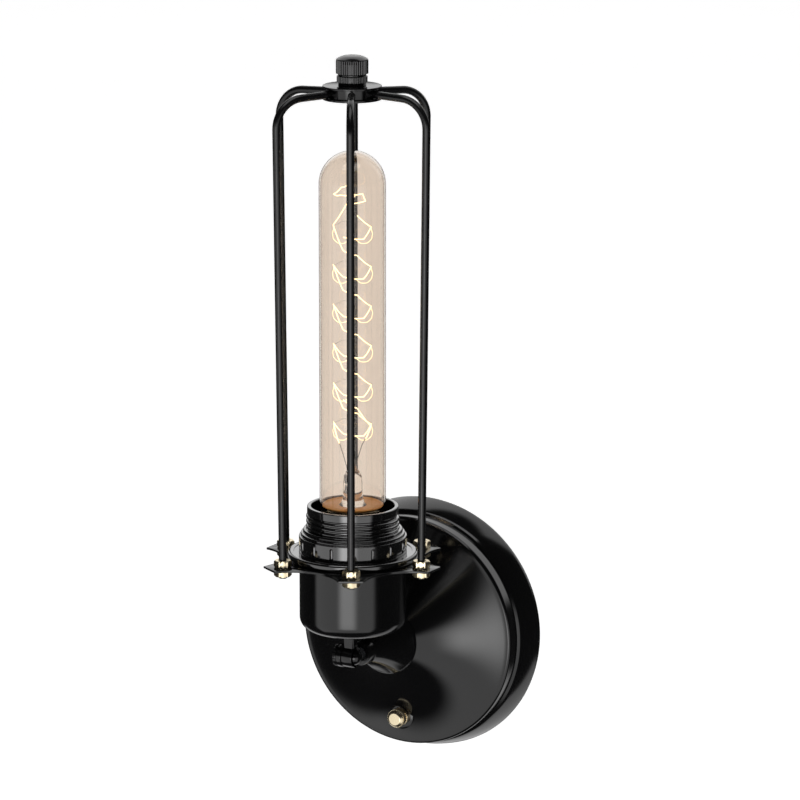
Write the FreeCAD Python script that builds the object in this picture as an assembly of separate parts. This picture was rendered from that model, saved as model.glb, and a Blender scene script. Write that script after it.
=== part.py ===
import FreeCAD, Part
import math
import os

# Cage wall light, millimetres.
# Origin: centre of the canopy on the wall plane (y = 0).  The light projects
# along -Y, +Z is up.  Depth values are distances in front of the wall.

# ---- canopy (spun steel shell on the wall)
CANOPY_RIM_R = 59.7            # widest radius, just off the wall
CANOPY_RIM_DEPTH = 1.6         # depth of the widest line
CANOPY_STEP_R = 55.6           # foot of the front drum
CANOPY_STEP_DEPTH = 13.7
CANOPY_STEP_DROP = 0.6         # height of the small step
CANOPY_CREASE_R = 54.6         # front edge of the drum
CANOPY_CREASE_DEPTH = 21.9
CANOPY_CREASE_BEVEL = 1.0
CANOPY_MID_R = 38.0            # a point on the concave front
CANOPY_MID_DEPTH = 27.2
CANOPY_SHEET = 1.2
CANOPY_INNER_RUNS = 3          # straight runs behind the concave front
CAP_NUT_Z = 40.3               # cap nuts above and below the centre
CAP_NUT_SEAT_DEPTH = 26.7
CAP_NUT_SEAT_R = 5.2
SEAT_WALL = 1.2

# ---- neck, arm and swivel
NECK_BASE_R = 15.8
NECK_BASE_DEPTH = 40.7
NECK_LIP = 0.8
NECK_WAIST_R = 8.6
NECK_WAIST_DEPTH = 54.0
ARM_R = 5.6
ARM_BORE_R = 3.6
SWIVEL_DEPTH = 72.6            # the lamp axis crosses the pivot axis here
ARM_END_GAP = 0.4              # air between the arm's end and the lamp half
EYE_R = 4.9                    # lamp half of the knuckle
EYE_LEFT_X = -3.9
EYE_RIGHT_X = 1.6
EYE_FLAT_Z = 3.8
LUG_R = 5.2                    # arm half of the knuckle
LUG_THICK = 2.4
STEM_WIDTH = 5.5
STEM_DEEP = 5.0
STEM_THREAD_R = 2.4
SWIVEL_SCREW_R = 1.95
SWIVEL_HEAD_R = 3.65
SWIVEL_HEAD_HIGH = 2.8
SCREW_TAIL_PROUD = 0.6         # screw end short of the thumb nut's outer face
THUMB_NUT_R = 5.3
THUMB_NUT_THICK = 1.9
THUMB_NUT_TEETH = 24
THUMB_NUT_TOOTH_DEEP = 0.4

# ---- socket cup and lampholder
CUP_R = 24.3
CUP_WALL = 1.2
CUP_BOTTOM_Z = 13.8
CUP_BOTTOM_THICK = 1.8
CUP_CORNER_R = 6.0
CUP_TOP_Z = 46.1
LEDGE_WALL = 2.1               # thicker wall under the lampholder's flange
FLANGE_THICK = 2.2
HOLDER_THREAD_R = 21.2
HOLDER_RIM_R = 20.75
HOLDER_BAND_Z = 69.8
HOLDER_RIM_Z = 71.5
HOLDER_WALL = 2.3
HOLDER_BODY_R = 19.0
HOLDER_BASE_Z = 24.0
HOLDER_FLOOR_Z = 44.5
HOLDER_BASE_THICK = 3.0
SHELL_WALL = 0.5
SHELL_TOP_Z = 66.0
CUP_NUT_AF = 9.0
CUP_NUT_THICK = 3.0

# ---- shade ring
RING_FLANGE_R = 29.6
RING_FLANGE_THICK = 3.4
RING_EDGE_BEVEL = 0.9
RING_LIP_WIDE = 1.2
RING_LIP_DEEP = 0.35
RING_BODY_R = 24.5
RING_BODY_TOP_Z = 57.75
RING_BEAD_R = 22.9             # foot of the upper bead
RING_BEAD_Z = 59.3
RING_TOP_R = 21.9
RING_TOP_Z = 61.0
RING_NOTCHES = 16
RING_NOTCH_TURN = 5.5          # degrees from +X to the first notch
RING_NOTCH_WIDE = 1.7
RING_NOTCH_DEEP = 1.0
RING_NOTCH_LOW_Z = 51.6
RING_NOTCH_TOP_Z = 56.6

# ---- cage
PLATE_THICK = 1.0
ARMS = 6
FIRST_ARM_ANGLE = 27.6         # degrees from -Y towards +X
TIP_R = 42.9
TIP_HALF = 5.5
WAIST_R = 32.0
ROD_CIRCLE_R = 36.0
ROD_R = 1.75
ROD_TOP_R = 38.3               # corner of the rod, where its legs would meet
ROD_CORNER_Z = 258.8
ROD_BEND_R = 13.0
ROD_END_R = 5.2
ROD_END_Z = 260.2
ROD_PROUD = 0.9                # rod end below the lower nut
NUT_AF = 7.0
NUT_THICK = 3.2
NUT_TURN = 30.0                # degrees, sets a flat outwards
SPOOL_DISC_R = 13.2
SPOOL_DISC_THICK = 1.0
SPOOL_DRUM_R = 10.8
SPOOL_LOW_Z = 257.1
SPOOL_TOP_Z = 263.3
KNOB_HIGH = 13.2
KNOB_R = 7.3
KNOB_BASE_R = 6.3
KNOB_BASE_HIGH = 1.4
KNOB_COLLAR_R = 6.9
KNOB_COLLAR_HIGH = 3.0
KNOB_GROOVE_R = 6.4
KNOB_GROOVE_HIGH = 0.6
KNOB_CROWN_R = 6.9
KNOB_CROWN_HIGH = 1.6
KNOB_CROWN_MID_R = 5.3
KNOB_CROWN_MID_DROP = 0.6
KNOB_TEETH = 36
KNOB_TOOTH_DEEP = 0.3
KNOB_STUD_R = 2.0
KNOB_STUD_HIGH = 7.0

# ---- bulb (tubular, medium screw cap)
BULB_R = 15.0
BULB_TOP_Z = 233.9
BULB_LOW_Z = 69.6
BULB_GLASS = 0.8
BULB_FOOT_BEVEL = 2.6
BULB_CAP_R = 13.05
BULB_CAP_WALL = 0.4
BULB_CAP_LOW_Z = 53.0
BULB_TIP_Z = 48.9
BULB_CONTACT_R = 4.5
BULB_INSULATOR_LOW_R = 6.0
BULB_CAP_TAPER = 3.0           # cone width at the cap's lower end
BULB_STEM_R = 6.6
BULB_STEM_FLARE = 3.0
BULB_STEM_NECK_R = 4.0
BULB_STEM_NECK_Z = 79.2
BULB_STEM_TOP_Z = 88.0
BULB_ROD_R = 1.0
BULB_ROD_PROUD = 6.0           # glass rod above the filament
FILAMENT_R = 0.3
FILAMENT_LOW_Z = 101.0
FILAMENT_PITCH = 18.0
FILAMENT_PERIODS = 6
FILAMENT_OUT = 9.0
FILAMENT_IN = 3.0
VIEW_ANGLE = 28.0              # the filament's flat side, degrees round Z

# ---- wall fixing
BAR_LONG = 100.0
BAR_WIDE = 16.0
BAR_THICK = 1.6
BAR_SLOT_Z = 29.0
BAR_SLOT_WIDE = 4.6
BAR_SLOT_LONG = 12.0
STUD_R = 2.0
CAP_NUT_R = 4.35
CAP_NUT_HIGH = 6.4
CAP_NUT_GROOVE = 0.7
CAP_NUT_GROOVE_R = 3.4
CAP_NUT_FLANGE = 1.5
STUD_IN_NUT = 3.9              # stud length inside its cap nut
NIPPLE_R = 5.0
NIPPLE_BORE_R = 3.6
NIPPLE_LONG = 20.0
NIPPLE_IN_CANOPY = 8.0
LOCK_NUT_AF = 14.0
LOCK_NUT_THICK = 3.0
WASHER_R = 9.0
WASHER_THICK = 1.0

# ---- clearances
TURN_FIT = 0.05                # radial, for what turns on a shaft
SLIP_FIT = 0.02                # radial, for what is only pushed through
FACE_FIT = 0.10                # between faces that rub

LAMP_Y = -SWIVEL_DEPTH
PLATE_LOW_Z = CUP_TOP_Z
PLATE_TOP_Z = PLATE_LOW_Z + PLATE_THICK
FULL_TURN = 360.0
HEX_SIDES = 6
ARC_MID = 1.0 - math.cos(math.radians(45.0))   # inset of a quarter round's middle
UP = FreeCAD.Vector(0, 0, 1)
OUT = FreeCAD.Vector(0, -1, 0)
ACROSS = FreeCAD.Vector(1, 0, 0)


def save(name, shape):
    """Write one node."""
    shape.exportStep("parts/%s.step" % name)


def polygon_face(corners):
    return Part.Face(Part.makePolygon(corners + [corners[0]]))


def edges_between(points):
    return [Part.LineSegment(a, b).toShape() for a, b in zip(points, points[1:])]


def lamp_point(radius, height):
    """A point of a half section of the lamp, in the X-Z plane through its axis."""
    return FreeCAD.Vector(radius, LAMP_Y, height)


def wall_point(radius, depth):
    """A point of a half section round the canopy's axis."""
    return FreeCAD.Vector(radius, -depth, 0)


def turned_on_lamp(section):
    return section.revolve(FreeCAD.Vector(0, LAMP_Y, 0), UP, FULL_TURN)


def turned_on_wall(section):
    return section.revolve(FreeCAD.Vector(0, 0, 0), OUT, FULL_TURN)


def lamp_turning(profile):
    """Revolve (radius, height) corners about the lamp axis."""
    return turned_on_lamp(polygon_face([lamp_point(r, z) for r, z in profile]))


def rod_along(axis, radius, length, start):
    return Part.makeCylinder(radius, length, start, axis)


def ring_of_corners(radii, turn=0.0):
    """Corners evenly spaced round the origin, one for each radius, first at turn degrees."""
    corners = []
    for i, radius in enumerate(radii):
        angle = math.radians(turn + i * FULL_TURN / len(radii))
        corners.append(FreeCAD.Vector(radius * math.cos(angle), radius * math.sin(angle), 0))
    return corners


def prism_along(axis, corners, thick, start):
    """Flat prism whose corners are given about the origin, standing on start."""
    prism = polygon_face(corners).extrude(UP * thick)
    prism.Placement = FreeCAD.Placement(start, FreeCAD.Rotation(UP, axis))
    return prism


def hexagon(across_flats, thick, start, axis, turn=0.0):
    corner_r = across_flats / math.sqrt(3.0)
    return prism_along(axis, ring_of_corners([corner_r] * HEX_SIDES, turn), thick, start)


def toothed_disc(axis, radius, tooth_deep, teeth, thick, start):
    """Knurled disc with one straight sided tooth for every pair of corners."""
    return prism_along(axis, ring_of_corners([radius, radius - tooth_deep] * teeth), thick, start)


def arm_angle(index):
    """Angle of one star arm, in radians from +X in plan."""
    return math.radians(FIRST_ARM_ANGLE - 90.0 + index * FULL_TURN / ARMS)


def plan_point(radius, angle, height):
    return FreeCAD.Vector(radius * math.cos(angle), LAMP_Y + radius * math.sin(angle), height)


# ---------------------------------------------------------------- on the wall

def canopy_front(inset):
    """Concave front from the crease to the neck seat, moved towards the wall by inset."""
    crease = wall_point(CANOPY_CREASE_R - CANOPY_CREASE_BEVEL - inset, CANOPY_CREASE_DEPTH - inset)
    middle = wall_point(CANOPY_MID_R, CANOPY_MID_DEPTH - inset)
    seat = wall_point(NECK_BASE_R, NECK_BASE_DEPTH - inset)
    return Part.Arc(crease, middle, seat).toShape()


def canopy_outside():
    """Half section of the whole spun form, bowed side, step, drum and concave front."""
    rim = wall_point(CANOPY_RIM_R, CANOPY_RIM_DEPTH)
    foot = wall_point(CANOPY_STEP_R + CANOPY_STEP_DROP, CANOPY_STEP_DEPTH - CANOPY_STEP_DROP)
    bow_r = (CANOPY_RIM_R + CANOPY_STEP_R) / 2.0 + CANOPY_STEP_DROP
    bow = wall_point(bow_r, (CANOPY_RIM_DEPTH + CANOPY_STEP_DEPTH) / 2.0)
    front = canopy_front(0.0)
    crease = front.valueAt(front.FirstParameter)
    seat = front.valueAt(front.LastParameter)
    axis_front = wall_point(0, NECK_BASE_DEPTH)
    wall_rim = wall_point(CANOPY_RIM_R - CANOPY_SHEET / 2.0, 0)
    edges = edges_between([axis_front, wall_point(0, 0), wall_rim, rim])
    edges.append(Part.Arc(rim, bow, foot).toShape())
    edges += edges_between([
        foot,
        wall_point(CANOPY_STEP_R, CANOPY_STEP_DEPTH),
        wall_point(CANOPY_CREASE_R, CANOPY_CREASE_DEPTH - CANOPY_CREASE_BEVEL),
        crease,
    ])
    edges.append(front)
    edges += edges_between([seat, axis_front])
    return Part.Face(Part.Wire(edges))


def canopy_inside():
    """Half section of the hollow, in straight runs one sheet behind the outside."""
    front = canopy_front(CANOPY_SHEET).discretize(CANOPY_INNER_RUNS + 1)
    drum_depth = CANOPY_CREASE_DEPTH - CANOPY_CREASE_BEVEL - CANOPY_SHEET
    corners = [
        wall_point(0, NECK_BASE_DEPTH - CANOPY_SHEET),
        wall_point(0, 0),
        wall_point(CANOPY_RIM_R - CANOPY_SHEET * 1.5, 0),
        wall_point(CANOPY_RIM_R - CANOPY_SHEET, CANOPY_RIM_DEPTH),
        wall_point(CANOPY_STEP_R - CANOPY_SHEET, CANOPY_STEP_DEPTH),
        wall_point(CANOPY_CREASE_R - CANOPY_SHEET, drum_depth),
    ]
    return polygon_face(corners + front)


def make_canopy():
    outside = turned_on_wall(canopy_outside())
    shell = outside.cut(turned_on_wall(canopy_inside()))
    for side in (-1.0, 1.0):
        foot = FreeCAD.Vector(0, -(CAP_NUT_SEAT_DEPTH - SEAT_WALL), side * CAP_NUT_Z)
        well = rod_along(OUT, CAP_NUT_SEAT_R + SEAT_WALL, CAP_NUT_HIGH, foot).common(outside)
        shell = shell.fuse(well)
        face = FreeCAD.Vector(0, -CAP_NUT_SEAT_DEPTH, side * CAP_NUT_Z)
        shell = shell.cut(rod_along(OUT, CAP_NUT_SEAT_R, CAP_NUT_HIGH, face))
        hole_start = FreeCAD.Vector(0, 0, side * CAP_NUT_Z)
        shell = shell.cut(rod_along(OUT, STUD_R + TURN_FIT, NECK_BASE_DEPTH, hole_start))
    bore = rod_along(OUT, NIPPLE_R + SLIP_FIT, NECK_BASE_DEPTH, FreeCAD.Vector(0, 0, 0))
    return shell.cut(bore).removeSplitter()


def make_crossbar():
    half_straight = (BAR_LONG - BAR_WIDE) / 2.0
    half = BAR_WIDE / 2.0
    low = FreeCAD.Vector(-half, 0, -half_straight)
    high = FreeCAD.Vector(-half, 0, half_straight)
    edges = [Part.LineSegment(low, high).toShape()]
    top = FreeCAD.Vector(0, 0, half_straight + half)
    edges.append(Part.Arc(high, top, FreeCAD.Vector(half, 0, half_straight)).toShape())
    edges += edges_between([FreeCAD.Vector(half, 0, half_straight), FreeCAD.Vector(half, 0, -half_straight)])
    bottom = FreeCAD.Vector(0, 0, -half_straight - half)
    edges.append(Part.Arc(FreeCAD.Vector(half, 0, -half_straight), bottom, low).toShape())
    bar = Part.Face(Part.Wire(edges)).extrude(OUT * BAR_THICK)
    bar = bar.cut(rod_along(OUT, NIPPLE_R + FACE_FIT, BAR_THICK, FreeCAD.Vector(0, 0, 0)))
    for side in (-1.0, 1.0):
        middle = side * BAR_SLOT_Z
        straight = BAR_SLOT_LONG - BAR_SLOT_WIDE
        corner = FreeCAD.Vector(-BAR_SLOT_WIDE / 2.0, -BAR_THICK, middle - straight / 2.0)
        slot = Part.makeBox(BAR_SLOT_WIDE, BAR_THICK, straight, corner)
        for end in (-1.0, 1.0):
            centre = FreeCAD.Vector(0, 0, middle + end * straight / 2.0)
            slot = slot.fuse(rod_along(OUT, BAR_SLOT_WIDE / 2.0, BAR_THICK, centre))
        bar = bar.cut(slot)
        stud_hole = FreeCAD.Vector(0, 0, side * CAP_NUT_Z)
        bar = bar.cut(rod_along(OUT, STUD_R + SLIP_FIT, BAR_THICK, stud_hole))
    return bar.removeSplitter()


def stud_end_depth():
    return CAP_NUT_SEAT_DEPTH + STUD_IN_NUT


def make_canopy_studs():
    studs = []
    for side in (-1.0, 1.0):
        foot = FreeCAD.Vector(0, 0, side * CAP_NUT_Z)
        studs.append(rod_along(OUT, STUD_R, stud_end_depth(), foot))
    return Part.makeCompound(studs)


def make_cap_nut(side):
    """Brass thumb nut: flange on the canopy, groove, knurled head with a crown."""
    groove = CAP_NUT_FLANGE + CAP_NUT_GROOVE
    shoulder = CAP_NUT_HIGH - CAP_NUT_GROOVE
    origin = FreeCAD.Vector(0, -CAP_NUT_SEAT_DEPTH, side * CAP_NUT_Z)
    profile = [
        (0, 0),
        (CAP_NUT_R, 0),
        (CAP_NUT_R, CAP_NUT_FLANGE),
        (CAP_NUT_GROOVE_R, CAP_NUT_FLANGE),
        (CAP_NUT_GROOVE_R, groove),
        (CAP_NUT_R, groove),
        (CAP_NUT_R, shoulder),
        (CAP_NUT_GROOVE_R, CAP_NUT_HIGH),
        (0, CAP_NUT_HIGH),
    ]
    corners = [origin + FreeCAD.Vector(r, -d, 0) for r, d in profile]
    nut = polygon_face(corners).revolve(origin, OUT, FULL_TURN)
    depth = stud_end_depth() - CAP_NUT_SEAT_DEPTH + FACE_FIT
    return nut.cut(rod_along(OUT, STUD_R + TURN_FIT, depth, origin))


def make_nipple():
    start = FreeCAD.Vector(0, -(NECK_BASE_DEPTH - CANOPY_SHEET - NIPPLE_IN_CANOPY), 0)
    tube = rod_along(OUT, NIPPLE_R, NIPPLE_LONG, start)
    return tube.cut(rod_along(OUT, NIPPLE_BORE_R, NIPPLE_LONG, start))


def make_nipple_washer():
    start = FreeCAD.Vector(0, -(NECK_BASE_DEPTH - CANOPY_SHEET - WASHER_THICK), 0)
    disc = rod_along(OUT, WASHER_R, WASHER_THICK, start)
    return disc.cut(rod_along(OUT, NIPPLE_R + SLIP_FIT, WASHER_THICK, start))


def make_nipple_nut():
    depth = NECK_BASE_DEPTH - CANOPY_SHEET - WASHER_THICK - LOCK_NUT_THICK
    start = FreeCAD.Vector(0, -depth, 0)
    nut = hexagon(LOCK_NUT_AF, LOCK_NUT_THICK, start, OUT)
    return nut.cut(rod_along(OUT, NIPPLE_R + SLIP_FIT, LOCK_NUT_THICK, start))


def arm_end_depth():
    return SWIVEL_DEPTH - EYE_R - ARM_END_GAP


def make_arm_neck():
    """Trumpet on the canopy, round arm and the lug that carries the swivel."""
    lip_r = NECK_BASE_R
    lip = wall_point(lip_r, NECK_BASE_DEPTH + NECK_LIP)
    waist = wall_point(NECK_WAIST_R, NECK_WAIST_DEPTH)
    end_depth = arm_end_depth()
    arm_start = wall_point(ARM_R, end_depth - ARM_R)
    edges = edges_between([wall_point(0, end_depth), wall_point(0, NECK_BASE_DEPTH),
                           wall_point(lip_r, NECK_BASE_DEPTH), lip])
    edges.append(Part.Arc(lip, waist, arm_start).toShape())
    edges += edges_between([arm_start, wall_point(ARM_R, end_depth), wall_point(0, end_depth)])
    neck = turned_on_wall(Part.Face(Part.Wire(edges)))
    lug_x = EYE_LEFT_X - FACE_FIT - LUG_THICK
    pivot = FreeCAD.Vector(lug_x, LAMP_Y, 0)
    lug = rod_along(ACROSS, LUG_R, LUG_THICK, pivot)
    web_deep = SWIVEL_DEPTH - end_depth + ARM_R
    web = Part.makeBox(LUG_THICK, web_deep, 2.0 * LUG_R, FreeCAD.Vector(lug_x, LAMP_Y, -LUG_R))
    neck = neck.fuse([lug, web])
    bolt_hole = FreeCAD.Vector(lug_x, LAMP_Y, 0)
    neck = neck.cut(rod_along(ACROSS, SWIVEL_SCREW_R + SLIP_FIT, LUG_THICK, bolt_hole))
    socket_long = NIPPLE_LONG - NIPPLE_IN_CANOPY - CANOPY_SHEET
    socket_start = FreeCAD.Vector(0, -NECK_BASE_DEPTH, 0)
    neck = neck.cut(rod_along(OUT, NIPPLE_R + SLIP_FIT, socket_long, socket_start))
    wire_way = rod_along(OUT, ARM_BORE_R, end_depth - NECK_BASE_DEPTH, socket_start)
    return neck.cut(wire_way).removeSplitter()


def make_swivel_screw():
    """Dome headed screw along X; the head bears on the lamp half of the knuckle."""
    head_x = EYE_RIGHT_X + FACE_FIT
    sphere_r = (SWIVEL_HEAD_R ** 2 + SWIVEL_HEAD_HIGH ** 2) / (2.0 * SWIVEL_HEAD_HIGH)
    centre = FreeCAD.Vector(head_x + SWIVEL_HEAD_HIGH - sphere_r, LAMP_Y, 0)
    slab = rod_along(ACROSS, SWIVEL_HEAD_R, SWIVEL_HEAD_HIGH, FreeCAD.Vector(head_x, LAMP_Y, 0))
    head = Part.makeSphere(sphere_r, centre).common(slab)
    tail_x = thumb_nut_x() - SCREW_TAIL_PROUD
    shank = rod_along(ACROSS, SWIVEL_SCREW_R, head_x - tail_x, FreeCAD.Vector(tail_x, LAMP_Y, 0))
    return head.fuse(shank).removeSplitter()


def thumb_nut_x():
    return EYE_LEFT_X - FACE_FIT - LUG_THICK - THUMB_NUT_THICK


def make_swivel_nut():
    start = FreeCAD.Vector(thumb_nut_x(), LAMP_Y, 0)
    nut = toothed_disc(ACROSS, THUMB_NUT_R, THUMB_NUT_TOOTH_DEEP, THUMB_NUT_TEETH, THUMB_NUT_THICK, start)
    return nut.cut(rod_along(ACROSS, SWIVEL_SCREW_R + TURN_FIT, THUMB_NUT_THICK, start))


# ---------------------------------------------------------------- lamp half

def cup_floor_z():
    return CUP_BOTTOM_Z + CUP_BOTTOM_THICK


def make_swivel_stem():
    """Knuckle half, flat bar and the threaded end that holds the cup."""
    wide = EYE_RIGHT_X - EYE_LEFT_X
    eye = rod_along(ACROSS, EYE_R, wide, FreeCAD.Vector(EYE_LEFT_X, LAMP_Y, 0))
    over = Part.makeBox(wide, 2.0 * EYE_R, EYE_R, FreeCAD.Vector(EYE_LEFT_X, LAMP_Y - EYE_R, EYE_FLAT_Z))
    eye = eye.cut(over)
    middle_x = (EYE_LEFT_X + EYE_RIGHT_X) / 2.0
    corner = FreeCAD.Vector(middle_x - STEM_WIDTH / 2.0, LAMP_Y - STEM_DEEP / 2.0, 0)
    bar = Part.makeBox(STEM_WIDTH, STEM_DEEP, CUP_BOTTOM_Z, corner)
    thread_long = CUP_BOTTOM_THICK + CUP_NUT_THICK + ROD_PROUD
    thread = rod_along(UP, STEM_THREAD_R, thread_long, FreeCAD.Vector(middle_x, LAMP_Y, CUP_BOTTOM_Z))
    stem = eye.fuse([bar, thread])
    hole = rod_along(ACROSS, SWIVEL_SCREW_R + TURN_FIT, wide, FreeCAD.Vector(EYE_LEFT_X, LAMP_Y, 0))
    return stem.cut(hole).removeSplitter()


def stem_foot(height):
    return FreeCAD.Vector((EYE_LEFT_X + EYE_RIGHT_X) / 2.0, LAMP_Y, height)


def make_cup():
    corner = CUP_CORNER_R
    flat_end = lamp_point(CUP_R - corner, CUP_BOTTOM_Z)
    corner_mid = lamp_point(CUP_R - corner * ARC_MID, CUP_BOTTOM_Z + corner * ARC_MID)
    side_start = lamp_point(CUP_R, CUP_BOTTOM_Z + corner)
    ledge_z = CUP_TOP_Z - FLANGE_THICK
    ledge_r = CUP_R - LEDGE_WALL
    inner_corner = corner - CUP_BOTTOM_THICK
    edges = edges_between([lamp_point(0, CUP_BOTTOM_Z), flat_end])
    edges.append(Part.Arc(flat_end, corner_mid, side_start).toShape())
    edges += edges_between([
        side_start,
        lamp_point(CUP_R, CUP_TOP_Z),
        lamp_point(CUP_R - CUP_WALL, CUP_TOP_Z),
        lamp_point(CUP_R - CUP_WALL, ledge_z),
        lamp_point(ledge_r, ledge_z),
        lamp_point(ledge_r, cup_floor_z() + inner_corner),
        lamp_point(ledge_r - inner_corner, cup_floor_z()),
        lamp_point(0, cup_floor_z()),
        lamp_point(0, CUP_BOTTOM_Z),
    ])
    cup = turned_on_lamp(Part.Face(Part.Wire(edges)))
    hole = rod_along(UP, STEM_THREAD_R + SLIP_FIT, CUP_BOTTOM_THICK, stem_foot(CUP_BOTTOM_Z))
    return cup.cut(hole)


def make_cup_nut():
    start = stem_foot(cup_floor_z())
    nut = hexagon(CUP_NUT_AF, CUP_NUT_THICK, start, UP)
    return nut.cut(rod_along(UP, STEM_THREAD_R + SLIP_FIT, CUP_NUT_THICK, start))


def shell_outer_r():
    return BULB_CAP_R + TURN_FIT + SHELL_WALL


def make_lampholder():
    """Moulded holder: closed body in the cup, flange on its ledge, skirt above."""
    flange_r = CUP_R - CUP_WALL - FACE_FIT
    flange_low = CUP_TOP_Z - FLANGE_THICK
    bore_r = HOLDER_THREAD_R - HOLDER_WALL
    floor = HOLDER_FLOOR_Z
    pocket_r = shell_outer_r()
    return lamp_turning([
        (0, HOLDER_BASE_Z),
        (HOLDER_BODY_R, HOLDER_BASE_Z),
        (HOLDER_BODY_R, flange_low),
        (flange_r, flange_low),
        (flange_r, CUP_TOP_Z),
        (HOLDER_THREAD_R, CUP_TOP_Z),
        (HOLDER_THREAD_R, HOLDER_BAND_Z),
        (HOLDER_RIM_R, HOLDER_BAND_Z),
        (HOLDER_RIM_R, HOLDER_RIM_Z),
        (bore_r, HOLDER_RIM_Z),
        (bore_r, floor),
        (pocket_r, floor),
        (pocket_r, floor - HOLDER_BASE_THICK),
        (0, floor - HOLDER_BASE_THICK),
    ])


def make_screw_shell():
    low = HOLDER_FLOOR_Z - HOLDER_BASE_THICK
    inner = BULB_CAP_R + TURN_FIT
    outer = shell_outer_r()
    return lamp_turning([
        (BULB_INSULATOR_LOW_R, low),
        (outer, low),
        (outer, SHELL_TOP_Z),
        (inner, SHELL_TOP_Z),
        (inner, low + SHELL_WALL),
        (BULB_INSULATOR_LOW_R, low + SHELL_WALL),
    ])


def make_centre_contact():
    """Sprung tongue under the bulb's tip: a foot, a riser and a bowed pad."""
    low = HOLDER_FLOOR_Z - HOLDER_BASE_THICK
    width = BULB_CONTACT_R
    high = BULB_TIP_Z - SLIP_FIT
    outer = [(-width, low), (width, low), (width, low + SHELL_WALL), (SHELL_WALL, low + SHELL_WALL),
             (width, high - SHELL_WALL), (width, high), (-width / 2.0, high),
             (-width / 2.0, high - SHELL_WALL), (-SHELL_WALL, low + SHELL_WALL), (-width, low + SHELL_WALL)]
    face = polygon_face([FreeCAD.Vector(x, LAMP_Y - width / 2.0, z) for x, z in outer])
    return face.extrude(FreeCAD.Vector(0, width, 0))


def make_shade_ring():
    """Bevelled flange with a raised lip, notched body and a sloping collar."""
    low = PLATE_TOP_Z
    flange_top = low + RING_FLANGE_THICK
    bevel = RING_EDGE_BEVEL
    bore = HOLDER_THREAD_R + TURN_FIT
    lip_in = RING_FLANGE_R - bevel - RING_LIP_WIDE
    dish = flange_top - RING_LIP_DEEP
    ring = lamp_turning([
        (bore, low),
        (RING_FLANGE_R - bevel, low),
        (RING_FLANGE_R, low + bevel),
        (RING_FLANGE_R, flange_top - bevel),
        (RING_FLANGE_R - bevel, flange_top),
        (lip_in, flange_top),
        (lip_in, dish),
        (RING_BODY_R, dish),
        (RING_BODY_R, RING_BODY_TOP_Z),
        (RING_BEAD_R, RING_BEAD_Z),
        (RING_TOP_R, RING_TOP_Z),
        (bore, RING_TOP_Z),
    ])
    return cut_ring_notches(ring)


def cut_ring_notches(ring):
    """Finger notches: upright slots with a round top, closed below."""
    half = RING_NOTCH_WIDE / 2.0
    slots = []
    for i in range(RING_NOTCHES):
        corner = FreeCAD.Vector(RING_BODY_R - RING_NOTCH_DEEP, -half, RING_NOTCH_LOW_Z)
        high = RING_NOTCH_TOP_Z - half - RING_NOTCH_LOW_Z
        slot = Part.makeBox(RING_NOTCH_DEEP * 2.0, RING_NOTCH_WIDE, high, corner)
        top = FreeCAD.Vector(RING_BODY_R - RING_NOTCH_DEEP, 0, RING_NOTCH_TOP_Z - half)
        slot = slot.fuse(rod_along(ACROSS, half, RING_NOTCH_DEEP * 2.0, top))
        slot.rotate(FreeCAD.Vector(0, 0, 0), UP, RING_NOTCH_TURN + i * FULL_TURN / RING_NOTCHES)
        slot.translate(FreeCAD.Vector(0, LAMP_Y, 0))
        slots.append(slot)
    return ring.cut(slots)


# ---------------------------------------------------------------- cage

def make_star_plate():
    """Six flat-tipped arms with hollow sides, thin sheet."""
    edges = []
    half_step = math.pi / ARMS
    for i in range(ARMS):
        angle = arm_angle(i)
        spread = math.atan2(TIP_HALF, TIP_R)
        tip_radius = math.hypot(TIP_R, TIP_HALF)
        first = plan_point(tip_radius, angle - spread, PLATE_LOW_Z)
        last = plan_point(tip_radius, angle + spread, PLATE_LOW_Z)
        following = plan_point(tip_radius, angle + 2.0 * half_step - spread, PLATE_LOW_Z)
        waist = plan_point(WAIST_R, angle + half_step, PLATE_LOW_Z)
        edges.append(Part.LineSegment(first, last).toShape())
        edges.append(Part.Arc(last, waist, following).toShape())
    plate = Part.Face(Part.Wire(edges)).extrude(UP * PLATE_THICK)
    bore_start = FreeCAD.Vector(0, LAMP_Y, PLATE_LOW_Z)
    plate = plate.cut(rod_along(UP, HOLDER_THREAD_R + TURN_FIT, PLATE_THICK, bore_start))
    holes = []
    for i in range(ARMS):
        foot = plan_point(ROD_CIRCLE_R, arm_angle(i), PLATE_LOW_Z)
        holes.append(rod_along(UP, ROD_R + FACE_FIT, PLATE_THICK, foot))
    return plate.cut(holes)


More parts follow.
